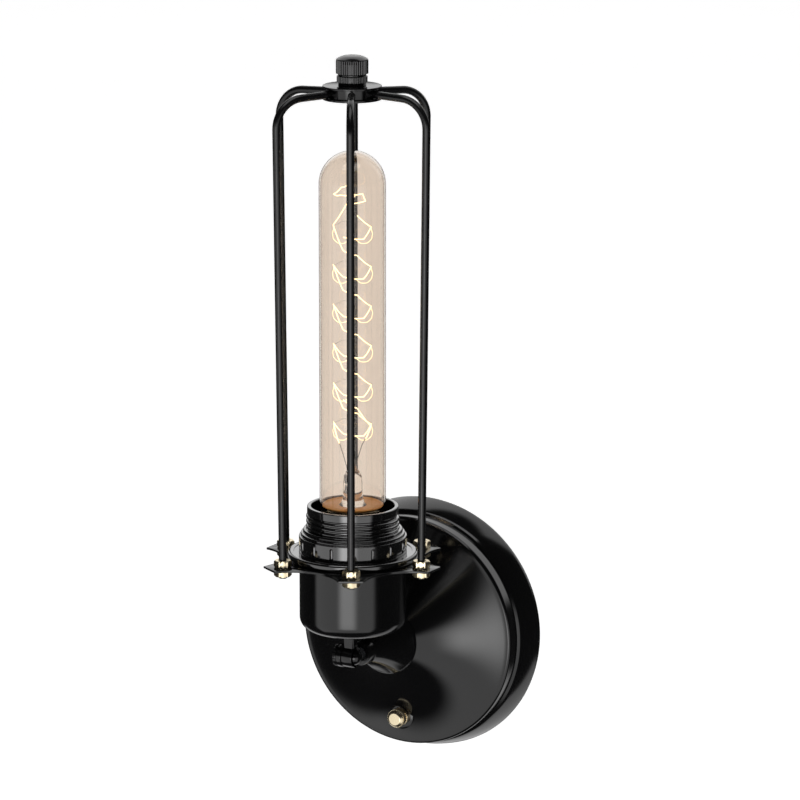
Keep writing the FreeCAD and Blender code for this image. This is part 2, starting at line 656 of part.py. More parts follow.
def make_cage_rod(angle, grow=0.0):
    """Rod from below the plate up to its bend and in to the hub."""
    low_z = PLATE_LOW_Z - NUT_THICK - ROD_PROUD
    straight_z = PLATE_TOP_Z + NUT_THICK
    foot = plan_point(ROD_CIRCLE_R, angle, low_z)
    knee = plan_point(ROD_CIRCLE_R, angle, straight_z)
    corner = plan_point(ROD_TOP_R, angle, ROD_CORNER_Z)
    end = plan_point(ROD_END_R, angle, ROD_END_Z)
    down = (knee - corner).normalize()
    inward = (end - corner).normalize()
    half_turn = down.getAngle(inward) / 2.0
    setback = ROD_BEND_R / math.tan(half_turn)
    bend_start = corner + down * setback
    bend_end = corner + inward * setback
    to_centre = (down + inward).normalize()
    centre = corner + to_centre * (ROD_BEND_R / math.sin(half_turn))
    bend_mid = centre - to_centre * ROD_BEND_R
    radius = ROD_R + grow
    leg = bend_start - knee
    rod = rod_along(UP, radius, straight_z - low_z, foot)
    rod = rod.fuse([Part.makeSphere(radius, knee), rod_along(leg, radius, leg.Length, knee)])
    path = Part.Wire([Part.Arc(bend_start, bend_mid, bend_end).toShape()])
    ring = Part.Wire([Part.makeCircle(radius, bend_start, leg)])
    bend = path.makePipeShell([ring], True, False)
    run = end - bend_end
    return rod.fuse([bend, rod_along(run, radius, run.Length, bend_end)]).removeSplitter()


def make_rod_nuts(low_z):
    nuts = []
    for i in range(ARMS):
        angle = arm_angle(i)
        foot = plan_point(ROD_CIRCLE_R, angle, low_z)
        nut = hexagon(NUT_AF, NUT_THICK, foot, UP, math.degrees(angle) + NUT_TURN)
        nuts.append(nut.cut(rod_along(UP, ROD_R + SLIP_FIT, NUT_THICK, foot)))
    return Part.makeCompound(nuts)


def make_spool_hub():
    """Drum with six radial holes and the lower disc in one turning."""
    drum_top = SPOOL_TOP_Z - SPOOL_DISC_THICK
    hub = lamp_turning([
        (0, SPOOL_LOW_Z),
        (SPOOL_DISC_R, SPOOL_LOW_Z),
        (SPOOL_DISC_R, SPOOL_LOW_Z + SPOOL_DISC_THICK),
        (SPOOL_DRUM_R, SPOOL_LOW_Z + SPOOL_DISC_THICK),
        (SPOOL_DRUM_R, drum_top),
        (0, drum_top),
    ])
    for i in range(ARMS):
        hub = hub.cut(make_cage_rod(arm_angle(i), SLIP_FIT))
    stud_start = FreeCAD.Vector(0, LAMP_Y, SPOOL_LOW_Z)
    return hub.cut(rod_along(UP, KNOB_STUD_R + SLIP_FIT, SPOOL_TOP_Z - SPOOL_LOW_Z, stud_start))


def make_spool_cap():
    start = FreeCAD.Vector(0, LAMP_Y, SPOOL_TOP_Z - SPOOL_DISC_THICK)
    disc = rod_along(UP, SPOOL_DISC_R, SPOOL_DISC_THICK, start)
    return disc.cut(rod_along(UP, KNOB_STUD_R + SLIP_FIT, SPOOL_DISC_THICK, start))


def make_finial_stud():
    start = FreeCAD.Vector(0, LAMP_Y, SPOOL_LOW_Z)
    return rod_along(UP, KNOB_STUD_R, SPOOL_TOP_Z - SPOOL_LOW_Z + KNOB_STUD_HIGH, start)


def make_finial_knob():
    """Base, collar, groove, knurled head and a low crown."""
    base_top = SPOOL_TOP_Z + KNOB_BASE_HIGH
    collar_top = base_top + KNOB_COLLAR_HIGH
    groove_top = collar_top + KNOB_GROOVE_HIGH
    knob_top = SPOOL_TOP_Z + KNOB_HIGH
    crown_low = knob_top - KNOB_CROWN_HIGH
    foot = lamp_turning([
        (0, SPOOL_TOP_Z),
        (KNOB_BASE_R, SPOOL_TOP_Z),
        (KNOB_BASE_R, base_top),
        (KNOB_COLLAR_R, base_top),
        (KNOB_COLLAR_R, collar_top),
        (KNOB_GROOVE_R, collar_top),
        (KNOB_GROOVE_R, groove_top),
        (0, groove_top),
    ])
    head_start = FreeCAD.Vector(0, LAMP_Y, groove_top)
    head = toothed_disc(UP, KNOB_R, KNOB_TOOTH_DEEP, KNOB_TEETH, crown_low - groove_top, head_start)
    shoulder = lamp_point(KNOB_CROWN_R, crown_low)
    crown_mid = lamp_point(KNOB_CROWN_MID_R, knob_top - KNOB_CROWN_MID_DROP)
    summit = lamp_point(0, knob_top)
    edges = [Part.Arc(shoulder, crown_mid, summit).toShape()]
    edges += edges_between([summit, lamp_point(0, crown_low), shoulder])
    crown = turned_on_lamp(Part.Face(Part.Wire(edges)))
    knob = foot.fuse([head, crown])
    depth = KNOB_STUD_HIGH + FACE_FIT
    bore_start = FreeCAD.Vector(0, LAMP_Y, SPOOL_TOP_Z)
    return knob.cut(rod_along(UP, KNOB_STUD_R + TURN_FIT, depth, bore_start))


# ---------------------------------------------------------------- bulb

def bulb_outline(inset):
    """Half section of the glass tube, moved in by inset."""
    radius = BULB_R - inset
    bevel = BULB_FOOT_BEVEL - inset
    dome_z = BULB_TOP_Z - BULB_R
    low = BULB_LOW_Z + inset
    top = lamp_point(0, BULB_TOP_Z - inset)
    dome_mid = lamp_point(radius - radius * ARC_MID, dome_z + radius - radius * ARC_MID)
    dome_start = lamp_point(radius, dome_z)
    edges = [Part.Arc(top, dome_mid, dome_start).toShape()]
    edges += edges_between([
        dome_start,
        lamp_point(radius, low + bevel),
        lamp_point(radius - bevel, low),
        lamp_point(0, low),
        top,
    ])
    return Part.Face(Part.Wire(edges))


def make_bulb_glass():
    return turned_on_lamp(bulb_outline(0.0)).cut(turned_on_lamp(bulb_outline(BULB_GLASS)))


def make_bulb_cap():
    """Brass screw cap, closed in by a cone above the insulator."""
    cone_z = BULB_CAP_LOW_Z + BULB_CAP_R - BULB_INSULATOR_LOW_R - BULB_CAP_TAPER
    inner = BULB_CAP_R - BULB_CAP_WALL
    return lamp_turning([
        (BULB_INSULATOR_LOW_R, BULB_CAP_LOW_Z),
        (BULB_INSULATOR_LOW_R + BULB_CAP_TAPER, BULB_CAP_LOW_Z),
        (BULB_CAP_R, cone_z),
        (BULB_CAP_R, SHELL_TOP_Z),
        (BULB_CAP_R - BULB_CAP_WALL / 2.0, BULB_LOW_Z),
        (inner - BULB_CAP_WALL / 2.0, BULB_LOW_Z),
        (inner, SHELL_TOP_Z),
        (inner, cone_z + BULB_CAP_WALL),
        (BULB_INSULATOR_LOW_R + BULB_CAP_TAPER, BULB_CAP_LOW_Z + BULB_CAP_WALL),
        (BULB_INSULATOR_LOW_R, BULB_CAP_LOW_Z + BULB_CAP_WALL),
    ])


def make_bulb_insulator():
    contact_top = BULB_TIP_Z + BULB_GLASS
    return lamp_turning([
        (0, contact_top),
        (BULB_CONTACT_R, contact_top),
        (BULB_INSULATOR_LOW_R, BULB_CAP_LOW_Z),
        (BULB_INSULATOR_LOW_R, BULB_CAP_LOW_Z + BULB_CAP_WALL),
        (0, BULB_CAP_LOW_Z + BULB_CAP_WALL),
    ])


def make_bulb_contact():
    contact_top = BULB_TIP_Z + BULB_GLASS
    return lamp_turning([
        (0, BULB_TIP_Z),
        (BULB_CONTACT_R - BULB_GLASS, BULB_TIP_Z),
        (BULB_CONTACT_R, contact_top),
        (0, contact_top),
    ])


def make_bulb_stem():
    """Glass foot, flare and the rod that carries the filament."""
    low = BULB_LOW_Z + BULB_GLASS
    rod_top = filament_top_z() + BULB_ROD_PROUD
    return lamp_turning([
        (0, low),
        (BULB_STEM_R + BULB_STEM_FLARE, low),
        (BULB_STEM_R, low + BULB_STEM_FLARE),
        (BULB_STEM_NECK_R, BULB_STEM_NECK_Z),
        (BULB_STEM_NECK_R, BULB_STEM_TOP_Z),
        (BULB_ROD_R, BULB_STEM_TOP_Z),
        (BULB_ROD_R, rod_top),
        (0, rod_top),
    ])


def filament_top_z():
    return FILAMENT_LOW_Z + FILAMENT_PITCH * FILAMENT_PERIODS


def view_point(across, height):
    """A point in the upright plane that holds the filament."""
    angle = math.radians(VIEW_ANGLE)
    return FreeCAD.Vector(across * math.cos(angle), LAMP_Y + across * math.sin(angle), height)


def bent_wire(points, radius):
    """Fine wire of six sides through points, in straight runs that meet at each bend."""
    section = ring_of_corners([radius] * HEX_SIDES)
    pieces = []
    for a, b in zip(points, points[1:]):
        run = b - a
        pieces.append(prism_along(run, section, run.Length, a))
    return pieces[0].fuse(pieces[1:])


def filament_points(side):
    """One zigzag strand, from its lead wire up."""
    points = [view_point(side * FILAMENT_IN, FILAMENT_LOW_Z)]
    for i in range(FILAMENT_PERIODS):
        low = FILAMENT_LOW_Z + i * FILAMENT_PITCH
        points.append(view_point(side * FILAMENT_OUT, low + FILAMENT_PITCH / 2.0))
        points.append(view_point(side * FILAMENT_IN, low + FILAMENT_PITCH))
    return points


def make_filament():
    strands = [bent_wire(filament_points(side), FILAMENT_R) for side in (-1.0, 1.0)]
    return Part.makeCompound(strands)


def make_lead_wires():
    """Two wires that rise from the glass stem to the strands."""
    wires = []
    for side in (-1.0, 1.0):
        start = view_point(side * FILAMENT_IN, BULB_STEM_TOP_Z)
        length = FILAMENT_LOW_Z - FILAMENT_R - BULB_STEM_TOP_Z
        wires.append(rod_along(UP, FILAMENT_R, length, start))
    return Part.makeCompound(wires)


def build_wall_side():
    save("canopy", make_canopy())
    save("crossbar", make_crossbar())
    save("canopy_studs", make_canopy_studs())
    save("cap_nut_lower", make_cap_nut(-1.0))
    save("cap_nut_upper", make_cap_nut(1.0))
    save("arm_nipple", make_nipple())
    save("nipple_washer", make_nipple_washer())
    save("nipple_nut", make_nipple_nut())
    save("arm_neck", make_arm_neck())
    save("swivel_screw", make_swivel_screw())
    save("swivel_nut", make_swivel_nut())


def build_lamp_half():
    save("swivel_stem", make_swivel_stem())
    save("socket_cup", make_cup())
    save("cup_nut", make_cup_nut())
    save("lampholder", make_lampholder())
    save("screw_shell", make_screw_shell())
    save("centre_contact", make_centre_contact())
    save("shade_ring", make_shade_ring())


def build_cage():
    save("star_plate", make_star_plate())
    for i in range(ARMS):
        save("cage_rod_%d" % (i + 1), make_cage_rod(arm_angle(i)))
    save("rod_nuts_upper", make_rod_nuts(PLATE_TOP_Z))
    save("rod_nuts_lower", make_rod_nuts(PLATE_LOW_Z - NUT_THICK))
    save("spool_hub", make_spool_hub())
    save("spool_cap", make_spool_cap())
    save("finial_stud", make_finial_stud())
    save("finial_knob", make_finial_knob())


def build_bulb():
    save("bulb_glass", make_bulb_glass())
    save("bulb_cap", make_bulb_cap())
    save("bulb_insulator", make_bulb_insulator())
    save("bulb_contact", make_bulb_contact())
    save("bulb_stem", make_bulb_stem())
    save("filament", make_filament())
    save("lead_wires", make_lead_wires())


os.makedirs("parts", exist_ok=True)
build_wall_side()
build_lamp_half()
build_cage()
build_bulb()
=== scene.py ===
import math

import bmesh
import bpy
from mathutils import Matrix, Vector


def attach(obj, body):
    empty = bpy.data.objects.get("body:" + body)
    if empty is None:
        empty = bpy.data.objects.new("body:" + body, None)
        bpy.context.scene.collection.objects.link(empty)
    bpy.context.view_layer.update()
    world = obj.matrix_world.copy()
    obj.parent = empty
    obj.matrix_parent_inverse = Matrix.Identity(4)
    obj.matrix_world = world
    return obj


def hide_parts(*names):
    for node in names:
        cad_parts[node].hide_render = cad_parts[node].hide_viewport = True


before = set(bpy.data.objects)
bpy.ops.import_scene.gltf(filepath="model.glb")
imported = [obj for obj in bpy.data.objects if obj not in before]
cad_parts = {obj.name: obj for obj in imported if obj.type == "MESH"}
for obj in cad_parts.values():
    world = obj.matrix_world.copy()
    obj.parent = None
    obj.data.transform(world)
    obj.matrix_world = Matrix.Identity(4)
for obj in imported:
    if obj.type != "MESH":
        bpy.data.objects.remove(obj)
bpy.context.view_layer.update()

MM = 0.001                      # metres in a millimetre
HALF_PI = math.pi / 2.0
FULL_TURN = 2.0 * math.pi
UPRIGHT = (0.0, 0.0, 0.0)       # no turn, for a form that stands upright

# ---- camera, read from the photo's 800 x 800 frame
IMAGE_SIZE = 800.0
FOCAL_PIXELS = 4475.3
SENSOR = 36.0                   # millimetres
CAMERA_AZIMUTH = 28.276         # degrees from -Y towards +X
CAMERA_ELEVATION = 12.733
CAMERA_ROLL = 0.046
CAMERA_DISTANCE = 1927.3
CAMERA_TARGET = (59.71, -138.58, 139.71)

# ---- sizes shared with the solids, millimetres
RUB_GAP = 0.03                  # air under a piece that turns on a flat face
LAMP_Y = -72.6                  # lamp axis in front of the wall
CANOPY_SHEET = 1.2
CANOPY_STEP_R = 56.2            # where the bowed side ends
CANOPY_STEP_DEPTH = 13.1
CANOPY_DRUM_R = 54.6
CREASE_ROUND = 1.6              # round between the drum and the concave front
CREASE_DEPTH = 20.3             # where that round begins
CREASE_R = CANOPY_DRUM_R - CREASE_ROUND
NECK_HOLE_R = 5.1
NECK_FOOT_R = 15.8
NECK_SEAT_DEPTH = 40.7          # front of the canopy, foot of the neck
CAP_NUT_Z = 40.3                # cap nuts above and below the canopy's centre
CAP_NUT_SEAT_DEPTH = 26.7
CAP_NUT_SEAT_R = 5.2
LUG_LEFT_X = -6.4
LUG_RIGHT_X = -4.0
EYE_LEFT_X = -3.85
EYE_RIGHT_X = 1.55
CUP_R = 24.3
CUP_CORNER_R = 6.0
CUP_LOW_Z = 13.8
CUP_LEDGE_Z = 43.9              # the holder's flange lies on it
HOLDER_R = 20.1
HOLDER_TOP_Z = 71.5
HOLDER_THREAD_R = 21.2
RING_BORE_R = 21.25
PLATE_LOW_Z = 46.1
PLATE_TOP_Z = 47.1
FIRST_ARM_ANGLE = 27.6
ARMS = 6
ROD_CIRCLE_R = 36.0
ROD_R = 1.75
ROD_BEND_R = 13.0
ROD_TIP_Z = 41.9                # lower end of a rod, below its nut
SPOOL_LOW_Z = 257.1
SPOOL_CAP_Z = 262.3
SPOOL_TOP_Z = 263.3
SPOOL_R = 13.2
NUT_AF = 7.0
NUT_THICK = 3.2
BULB_R = 15.0
BULB_TOP_Z = 233.9
BULB_LOW_Z = 69.6
BULB_GLASS = 0.8                # wall of the glass
BULB_FOOT_ROUND = 3.0


# ================================================================ meshes

def lamp_place(x, y, z):
    """A point given round the lamp axis."""
    return Vector((x, LAMP_Y + y, z)) * MM


def wall_place(x, y, z):
    """A turning whose axis leaves the wall: z of the turning is the depth."""
    return Vector((x, -z, y)) * MM


def linked(name, data):
    """A new object in the scene, at the origin."""
    holder = bpy.data.objects.new(name, data)
    bpy.context.scene.collection.objects.link(holder)
    return holder


def shown_mesh(holder):
    """The plain mesh that an object shows once its modifiers have run."""
    return bpy.data.meshes.new_from_object(holder.evaluated_get(bpy.context.evaluated_depsgraph_get()))


def taken_over(holder):
    """What an object shows, as a mesh to work on; the object goes."""
    mesh = shown_mesh(holder)
    bpy.data.objects.remove(holder)
    work = bmesh.new()
    work.from_mesh(mesh)
    bpy.data.meshes.remove(mesh)
    return work


def skin(work, rings, closed):
    """Four-sided faces between rings of points; closed joins the last ring to the first."""
    pairs = list(zip(rings, rings[1:]))
    if closed:
        pairs.append((rings[-1], rings[0]))
    for lower, upper in pairs:
        count = len(lower)
        for s in range(count):
            n = (s + 1) % count
            work.faces.new((lower[s], lower[n], upper[n], upper[s]))


def finish_mesh(name, work, sharp_degrees=38.0, weld=1e-7):
    """Weld, point the faces outwards, mark the sharp edges and make the object."""
    bmesh.ops.remove_doubles(work, verts=work.verts, dist=weld)
    bmesh.ops.dissolve_degenerate(work, dist=weld, edges=work.edges)
    bmesh.ops.recalc_face_normals(work, faces=work.faces)
    limit = math.radians(sharp_degrees)
    for face in work.faces:
        face.smooth = True
    for edge in work.edges:
        edge.smooth = len(edge.link_faces) == 2 and edge.calc_face_angle(0.0) < limit
    mesh = bpy.data.meshes.new(name)
    work.to_mesh(mesh)
    work.free()
    return linked(name, mesh)


def rounded(corners, steps=6):
    """Corners (radius, height, fillet) to a closed outline with round corners."""
    outline = []
    count = len(corners)
    for i, (r, h, fillet) in enumerate(corners):
        here = Vector((r, h))
        if fillet <= 0.0:
            outline.append((r, h))
            continue
        before = Vector(corners[i - 1][:2]) - here
        after = Vector(corners[(i + 1) % count][:2]) - here
        half = before.angle(after) / 2.0
        back = min(fillet / math.tan(half), before.length * 0.49, after.length * 0.49)
        start = here + before.normalized() * back
        end = here + after.normalized() * back
        for k in range(steps + 1):
            t = k / steps
            point = start * (1 - t) ** 2 + here * 2 * t * (1 - t) + end * t ** 2
            outline.append((point.x, point.y))
    return outline


def arc_through(start, middle, end, steps):
    """Points of the circle through three (radius, height) points."""
    ax, ay = start
    bx, by = middle
    cx, cy = end
    d = 2.0 * (ax * (by - cy) + bx * (cy - ay) + cx * (ay - by))
    sa = ax * ax + ay * ay
    sb = bx * bx + by * by
    sc = cx * cx + cy * cy
    ux = (sa * (by - cy) + sb * (cy - ay) + sc * (ay - by)) / d
    uy = (sa * (cx - bx) + sb * (ax - cx) + sc * (bx - ax)) / d
    radius = math.hypot(ax - ux, ay - uy)
    first = math.atan2(ay - uy, ax - ux)
    through = (math.atan2(by - uy, bx - ux) - first) % FULL_TURN
    sweep = (math.atan2(cy - uy, cx - ux) - first) % FULL_TURN
    if through > sweep:
        sweep -= FULL_TURN
    angles = [first + sweep * k / steps for k in range(steps + 1)]
    return [(ux + radius * math.cos(a), uy + radius * math.sin(a)) for a in angles]


def turning(name, outline, place=lamp_place, segments=128, closed=True):
    """Spin an outline of (radius, height) points round the axis that place gives."""
    work = bmesh.new()
    rings = []
    for r, h in outline:
        ring = []
        for s in range(segments):
            angle = FULL_TURN * s / segments
            ring.append(work.verts.new(place(r * math.cos(angle), r * math.sin(angle), h)))
        rings.append(ring)
    skin(work, rings, closed)
    return finish_mesh(name, work)


def tube(name, points, radius, sides=16):
    """A round bar with flat ends through points (metres), by parallel transport."""
    work = bmesh.new()
    side = None
    rings = []
    for i, point in enumerate(points):
        back = points[max(i - 1, 0)]
        ahead = points[min(i + 1, len(points) - 1)]
        run = (ahead - back).normalized()
        if side is None:
            side = run.orthogonal().normalized()
        side = (side - run * side.dot(run)).normalized()
        other = run.cross(side)
        ring = []
        for s in range(sides):
            angle = FULL_TURN * s / sides
            spoke = side * math.cos(angle) + other * math.sin(angle)
            ring.append(work.verts.new(point + spoke * radius))
        rings.append(ring)
    skin(work, rings, False)
    work.faces.new(rings[0])
    work.faces.new(rings[-1])
    return finish_mesh(name, work)


def prism(name, outline, low_z, high_z, bevel, holes=()):
    """Flat plate from an outline (mm, in plan) with holes, edges bevelled."""
    curve = bpy.data.curves.new(name, "CURVE")
    curve.dimensions = "2D"
    curve.fill_mode = "BOTH"
    for loop in [outline] + list(holes):
        spline = curve.splines.new("POLY")
        spline.points.add(len(loop) - 1)
        for i, (x, y) in enumerate(loop):
            spline.points[i].co = (x * MM, y * MM, 0.0, 1.0)
        spline.use_cyclic_u = True
    curve.extrude = ((high_z - low_z) / 2.0 - bevel) * MM
    curve.bevel_depth = bevel * MM
    curve.bevel_resolution = 2
    curve.offset = -bevel * MM
    work = taken_over(linked(name, curve))
    bmesh.ops.translate(work, verts=work.verts, vec=(0.0, 0.0, (low_z + high_z) / 2.0 * MM))
    return finish_mesh(name, work, weld=2e-6)


def upright_place(cx, cy, low_z=0.0):
    """Turnings that stand on an axis of their own beside the lamp's."""
    return lambda x, y, z: lamp_place(x + cx, y + cy, z + low_z)


def circle_points(radius, cx=0.0, cy=0.0, steps=48):
    """Corners round a circle in plan."""
    angles = [FULL_TURN * k / steps for k in range(steps)]
    return [(cx + radius * math.cos(a), cy + radius * math.sin(a)) for a in angles]


def quarter(steps):
    """Angles from 0 to 90 degrees."""
    return [HALF_PI * k / steps for k in range(steps + 1)]


def arm_angle(index):
    """Direction of a plate arm and its rod, from +X."""
    return math.radians(FIRST_ARM_ANGLE - 90.0 + index * 360.0 / ARMS)


def rod_foot(index):
    """Where a rod stands on the plate, round the lamp axis."""
    angle = arm_angle(index)
    return ROD_CIRCLE_R * math.cos(angle), ROD_CIRCLE_R * math.sin(angle)


def joined(name, pieces):
    """Join finished meshes into one piece."""
    work = bmesh.new()
    for piece in pieces:
        work.from_mesh(piece.data)
        bpy.data.objects.remove(piece)
    mesh = bpy.data.meshes.new(name)
    work.to_mesh(mesh)
    work.free()
    return linked(name, mesh)


# ================================================================ geometry nodes

def new_tree(name, inputs):
    """A geometry tree with named inputs and one geometry output."""
    tree = bpy.data.node_groups.new(name, "GeometryNodeTree")
    ids = {}
    for label, kind in inputs:
        ids[label] = tree.interface.new_socket(label, in_out="INPUT", socket_type=kind).identifier
    tree.interface.new_socket("Geometry", in_out="OUTPUT", socket_type="NodeSocketGeometry")
    return tree, ids


def bake_tree(name, tree, ids, values):
    """Run a tree on an empty mesh and keep the plain mesh that it makes."""
    holder = linked(name, bpy.data.meshes.new(name))
    modifier = holder.modifiers.new("shape", "NODES")
    modifier.node_group = tree
    for label, value in values.items():
        modifier[ids[label]] = value
    return finish_mesh(name, taken_over(holder))


def place_and_paint(tree, source, geometry):
    """The end of both trees: make it real, turn and move it, give it its material."""
    real = tree.nodes.new("GeometryNodeRealizeInstances")
    move = tree.nodes.new("GeometryNodeTransform")
    paint = tree.nodes.new("GeometryNodeSetMaterial")
    sink = tree.nodes.new("NodeGroupOutput")
    links = tree.links
    links.new(geometry, real.inputs["Geometry"])
    links.new(real.outputs["Geometry"], move.inputs["Geometry"])
    links.new(source.outputs["Place"], move.inputs["Translation"])
    links.new(source.outputs["Turn"], move.inputs["Rotation"])
    links.new(move.outputs["Geometry"], paint.inputs["Geometry"])
    links.new(source.outputs["Material"], paint.inputs["Material"])
    links.new(paint.outputs["Geometry"], sink.inputs["Geometry"])


def rib_tree():
    """Round ribs that stand in a circle: the grip of a knob or thumb nut."""
    tree, ids = new_tree("grip ribs", [
        ("Count", "NodeSocketInt"), ("Circle Radius", "NodeSocketFloat"),
        ("Rib Radius", "NodeSocketFloat"), ("Rib Length", "NodeSocketFloat"),
        ("Place", "NodeSocketVector"), ("Turn", "NodeSocketVector"), ("Material", "NodeSocketMaterial")])
    nodes = tree.nodes
    links = tree.links
    source = nodes.new("NodeGroupInput")
    circle = nodes.new("GeometryNodeMeshCircle")
    rib = nodes.new("GeometryNodeMeshCylinder")
    rib.inputs["Vertices"].default_value = 8
    stand = nodes.new("GeometryNodeInstanceOnPoints")
    links.new(source.outputs["Count"], circle.inputs["Vertices"])
    links.new(source.outputs["Circle Radius"], circle.inputs["Radius"])
    links.new(source.outputs["Rib Radius"], rib.inputs["Radius"])
    links.new(source.outputs["Rib Length"], rib.inputs["Depth"])
    links.new(circle.outputs["Mesh"], stand.inputs["Points"])
    links.new(rib.outputs["Mesh"], stand.inputs["Instance"])
    place_and_paint(tree, source, stand.outputs["Instances"])
    return tree, ids


def thread_tree():
    """A round-backed screw ridge: a level coil swept by a small circle."""
    tree, ids = new_tree("screw ridge", [
        ("Turns", "NodeSocketFloat"), ("Coil Radius", "NodeSocketFloat"), ("Ridge Radius", "NodeSocketFloat"),
        ("Height", "NodeSocketFloat"), ("Steps", "NodeSocketInt"), ("Place", "NodeSocketVector"),
        ("Turn", "NodeSocketVector"), ("Material", "NodeSocketMaterial")])
    nodes = tree.nodes
    links = tree.links
    source = nodes.new("NodeGroupInput")
    coil = nodes.new("GeometryNodeCurveSpiral")
    ridge = nodes.new("GeometryNodeCurvePrimitiveCircle")
    ridge.inputs["Resolution"].default_value = 10
    sweep = nodes.new("GeometryNodeCurveToMesh")
    sweep.inputs["Fill Caps"].default_value = True
    links.new(source.outputs["Steps"], coil.inputs["Resolution"])
    links.new(source.outputs["Turns"], coil.inputs["Rotations"])
    links.new(source.outputs["Coil Radius"], coil.inputs["Start Radius"])
    links.new(source.outputs["Coil Radius"], coil.inputs["End Radius"])
    links.new(source.outputs["Height"], coil.inputs["Height"])
    links.new(source.outputs["Ridge Radius"], ridge.inputs["Radius"])
    links.new(coil.outputs["Curve"], sweep.inputs["Curve"])
    links.new(ridge.outputs["Curve"], sweep.inputs["Profile Curve"])
    place_and_paint(tree, source, sweep.outputs["Mesh"])
    return tree, ids


RIBS = rib_tree()
THREAD = thread_tree()


def grip_ribs(name, count, circle_r, rib_r, length, place, turn, material):
    """Ribs in millimetres round a place in metres."""
    return bake_tree(name, *RIBS, {
        "Count": count, "Circle Radius": circle_r * MM, "Rib Radius": rib_r * MM,
        "Rib Length": length * MM, "Place": place, "Turn": turn, "Material": material})


def screw_ridge(name, turns, crest_r, ridge_r, height, place, material, steps=48):
    """An upright screw thread: crest radius, ridge radius and height in millimetres."""
    return bake_tree(name, *THREAD, {
        "Turns": turns, "Coil Radius": (crest_r - ridge_r) * MM, "Ridge Radius": ridge_r * MM,
        "Height": height * MM, "Steps": steps, "Place": place, "Turn": UPRIGHT, "Material": material})


# ================================================================ shared effects

def calculation(nodes, links, operation, *inputs, clamp=False):
    """A math node on sockets and numbers."""
    step = nodes.new("ShaderNodeMath")
    step.operation = operation
    step.use_clamp = clamp
    for socket, value in zip(step.inputs, inputs):
        if isinstance(value, (int, float)):
            socket.default_value = value
        else:
            links.new(value, socket)
    return step.outputs["Value"]


def new_effect(name, inputs, outputs):
    """An empty node group with named values in and out, to be shared by materials."""
    group = bpy.data.node_groups.new(name, "ShaderNodeTree")
    for label, default in inputs:
        socket = group.interface.new_socket(label, in_out="INPUT", socket_type="NodeSocketFloat")
        socket.default_value = default
    for label in outputs:
        group.interface.new_socket(label, in_out="OUTPUT", socket_type="NodeSocketFloat")
    return group, group.nodes.new("NodeGroupInput"), group.nodes.new("NodeGroupOutput")


def fine_grain():
    """Two sizes of noise: one value for roughness, one height for bump."""
    group, source, sink = new_effect("fine grain", [
        ("Coarse Scale", 40.0), ("Fine Scale", 900.0), ("Low", 0.2), ("High", 0.3)], ["Roughness", "Height"])
    place = group.nodes.new("ShaderNodeTexCoord")
    coarse = group.nodes.new("ShaderNodeTexNoise")
    fine = group.nodes.new("ShaderNodeTexNoise")
    coarse.inputs["Detail"].default_value = 3.0
    fine.inputs["Detail"].default_value = 2.0
    spread = group.nodes.new("ShaderNodeMapRange")
    links = group.links
    links.new(place.outputs["Object"], coarse.inputs["Vector"])
    links.new(place.outputs["Object"], fine.inputs["Vector"])
    links.new(source.outputs["Coarse Scale"], coarse.inputs["Scale"])
    links.new(source.outputs["Fine Scale"], fine.inputs["Scale"])
    links.new(coarse.outputs["Fac"], spread.inputs["Value"])
    spread.inputs["From Min"].default_value = 0.35
    spread.inputs["From Max"].default_value = 0.65
    links.new(source.outputs["Low"], spread.inputs["To Min"])
    links.new(source.outputs["High"], spread.inputs["To Max"])
    links.new(spread.outputs["Result"], sink.inputs["Roughness"])
    links.new(fine.outputs["Fac"], sink.inputs["Height"])
    return group


def worn_edges():
    """A mask of the sharp outer edges, broken up by noise."""
    group, source, sink = new_effect("worn edges", [
        ("Start", 0.53), ("End", 0.60), ("Break Scale", 300.0), ("Amount", 0.5)], ["Mask"])
    shape = group.nodes.new("ShaderNodeNewGeometry")
    edge = group.nodes.new("ShaderNodeMapRange")
    place = group.nodes.new("ShaderNodeTexCoord")
    noise = group.nodes.new("ShaderNodeTexNoise")
    links = group.links
    links.new(shape.outputs["Pointiness"], edge.inputs["Value"])
    links.new(source.outputs["Start"], edge.inputs["From Min"])
    links.new(source.outputs["End"], edge.inputs["From Max"])
    links.new(place.outputs["Object"], noise.inputs["Vector"])
    links.new(source.outputs["Break Scale"], noise.inputs["Scale"])
    broken = calculation(group.nodes, links, "MULTIPLY", edge.outputs["Result"], noise.outputs["Fac"])
    mask = calculation(group.nodes, links, "MULTIPLY", broken, source.outputs["Amount"], clamp=True)
    links.new(mask, sink.inputs["Mask"])
    return group


def dust_specks():
    """A sparse mask of fine dust."""
    group, source, sink = new_effect("dust specks", [("Scale", 1200.0), ("Amount", 0.1)], ["Mask"])
    place = group.nodes.new("ShaderNodeTexCoord")
    cells = group.nodes.new("ShaderNodeTexVoronoi")
    speck = group.nodes.new("ShaderNodeMapRange")
    speck.inputs["From Min"].default_value = 0.14
    speck.inputs["From Max"].default_value = 0.05
    links = group.links
    links.new(place.outputs["Object"], cells.inputs["Vector"])
    links.new(source.outputs["Scale"], cells.inputs["Scale"])
    links.new(cells.outputs["Distance"], speck.inputs["Value"])
    mask = calculation(group.nodes, links, "MULTIPLY", speck.outputs["Result"], source.outputs["Amount"])
    links.new(mask, sink.inputs["Mask"])
    return group


GRAIN = fine_grain()
WEAR = worn_edges()
DUST = dust_specks()


def new_material(name):
    """A material with its nodes, its links and its one surface shader."""
    material = bpy.data.materials.new(name)
    material.use_nodes = True
    tree = material.node_tree
    return material, tree.nodes, tree.links, tree.nodes["Principled BSDF"]


def place_effect(nodes, group, values):
    """A shared effect placed in a material with its own values."""
    effect = nodes.new("ShaderNodeGroup")
    effect.node_tree = group
    for label, value in values.items():
        effect.inputs[label].default_value = value
    return effect


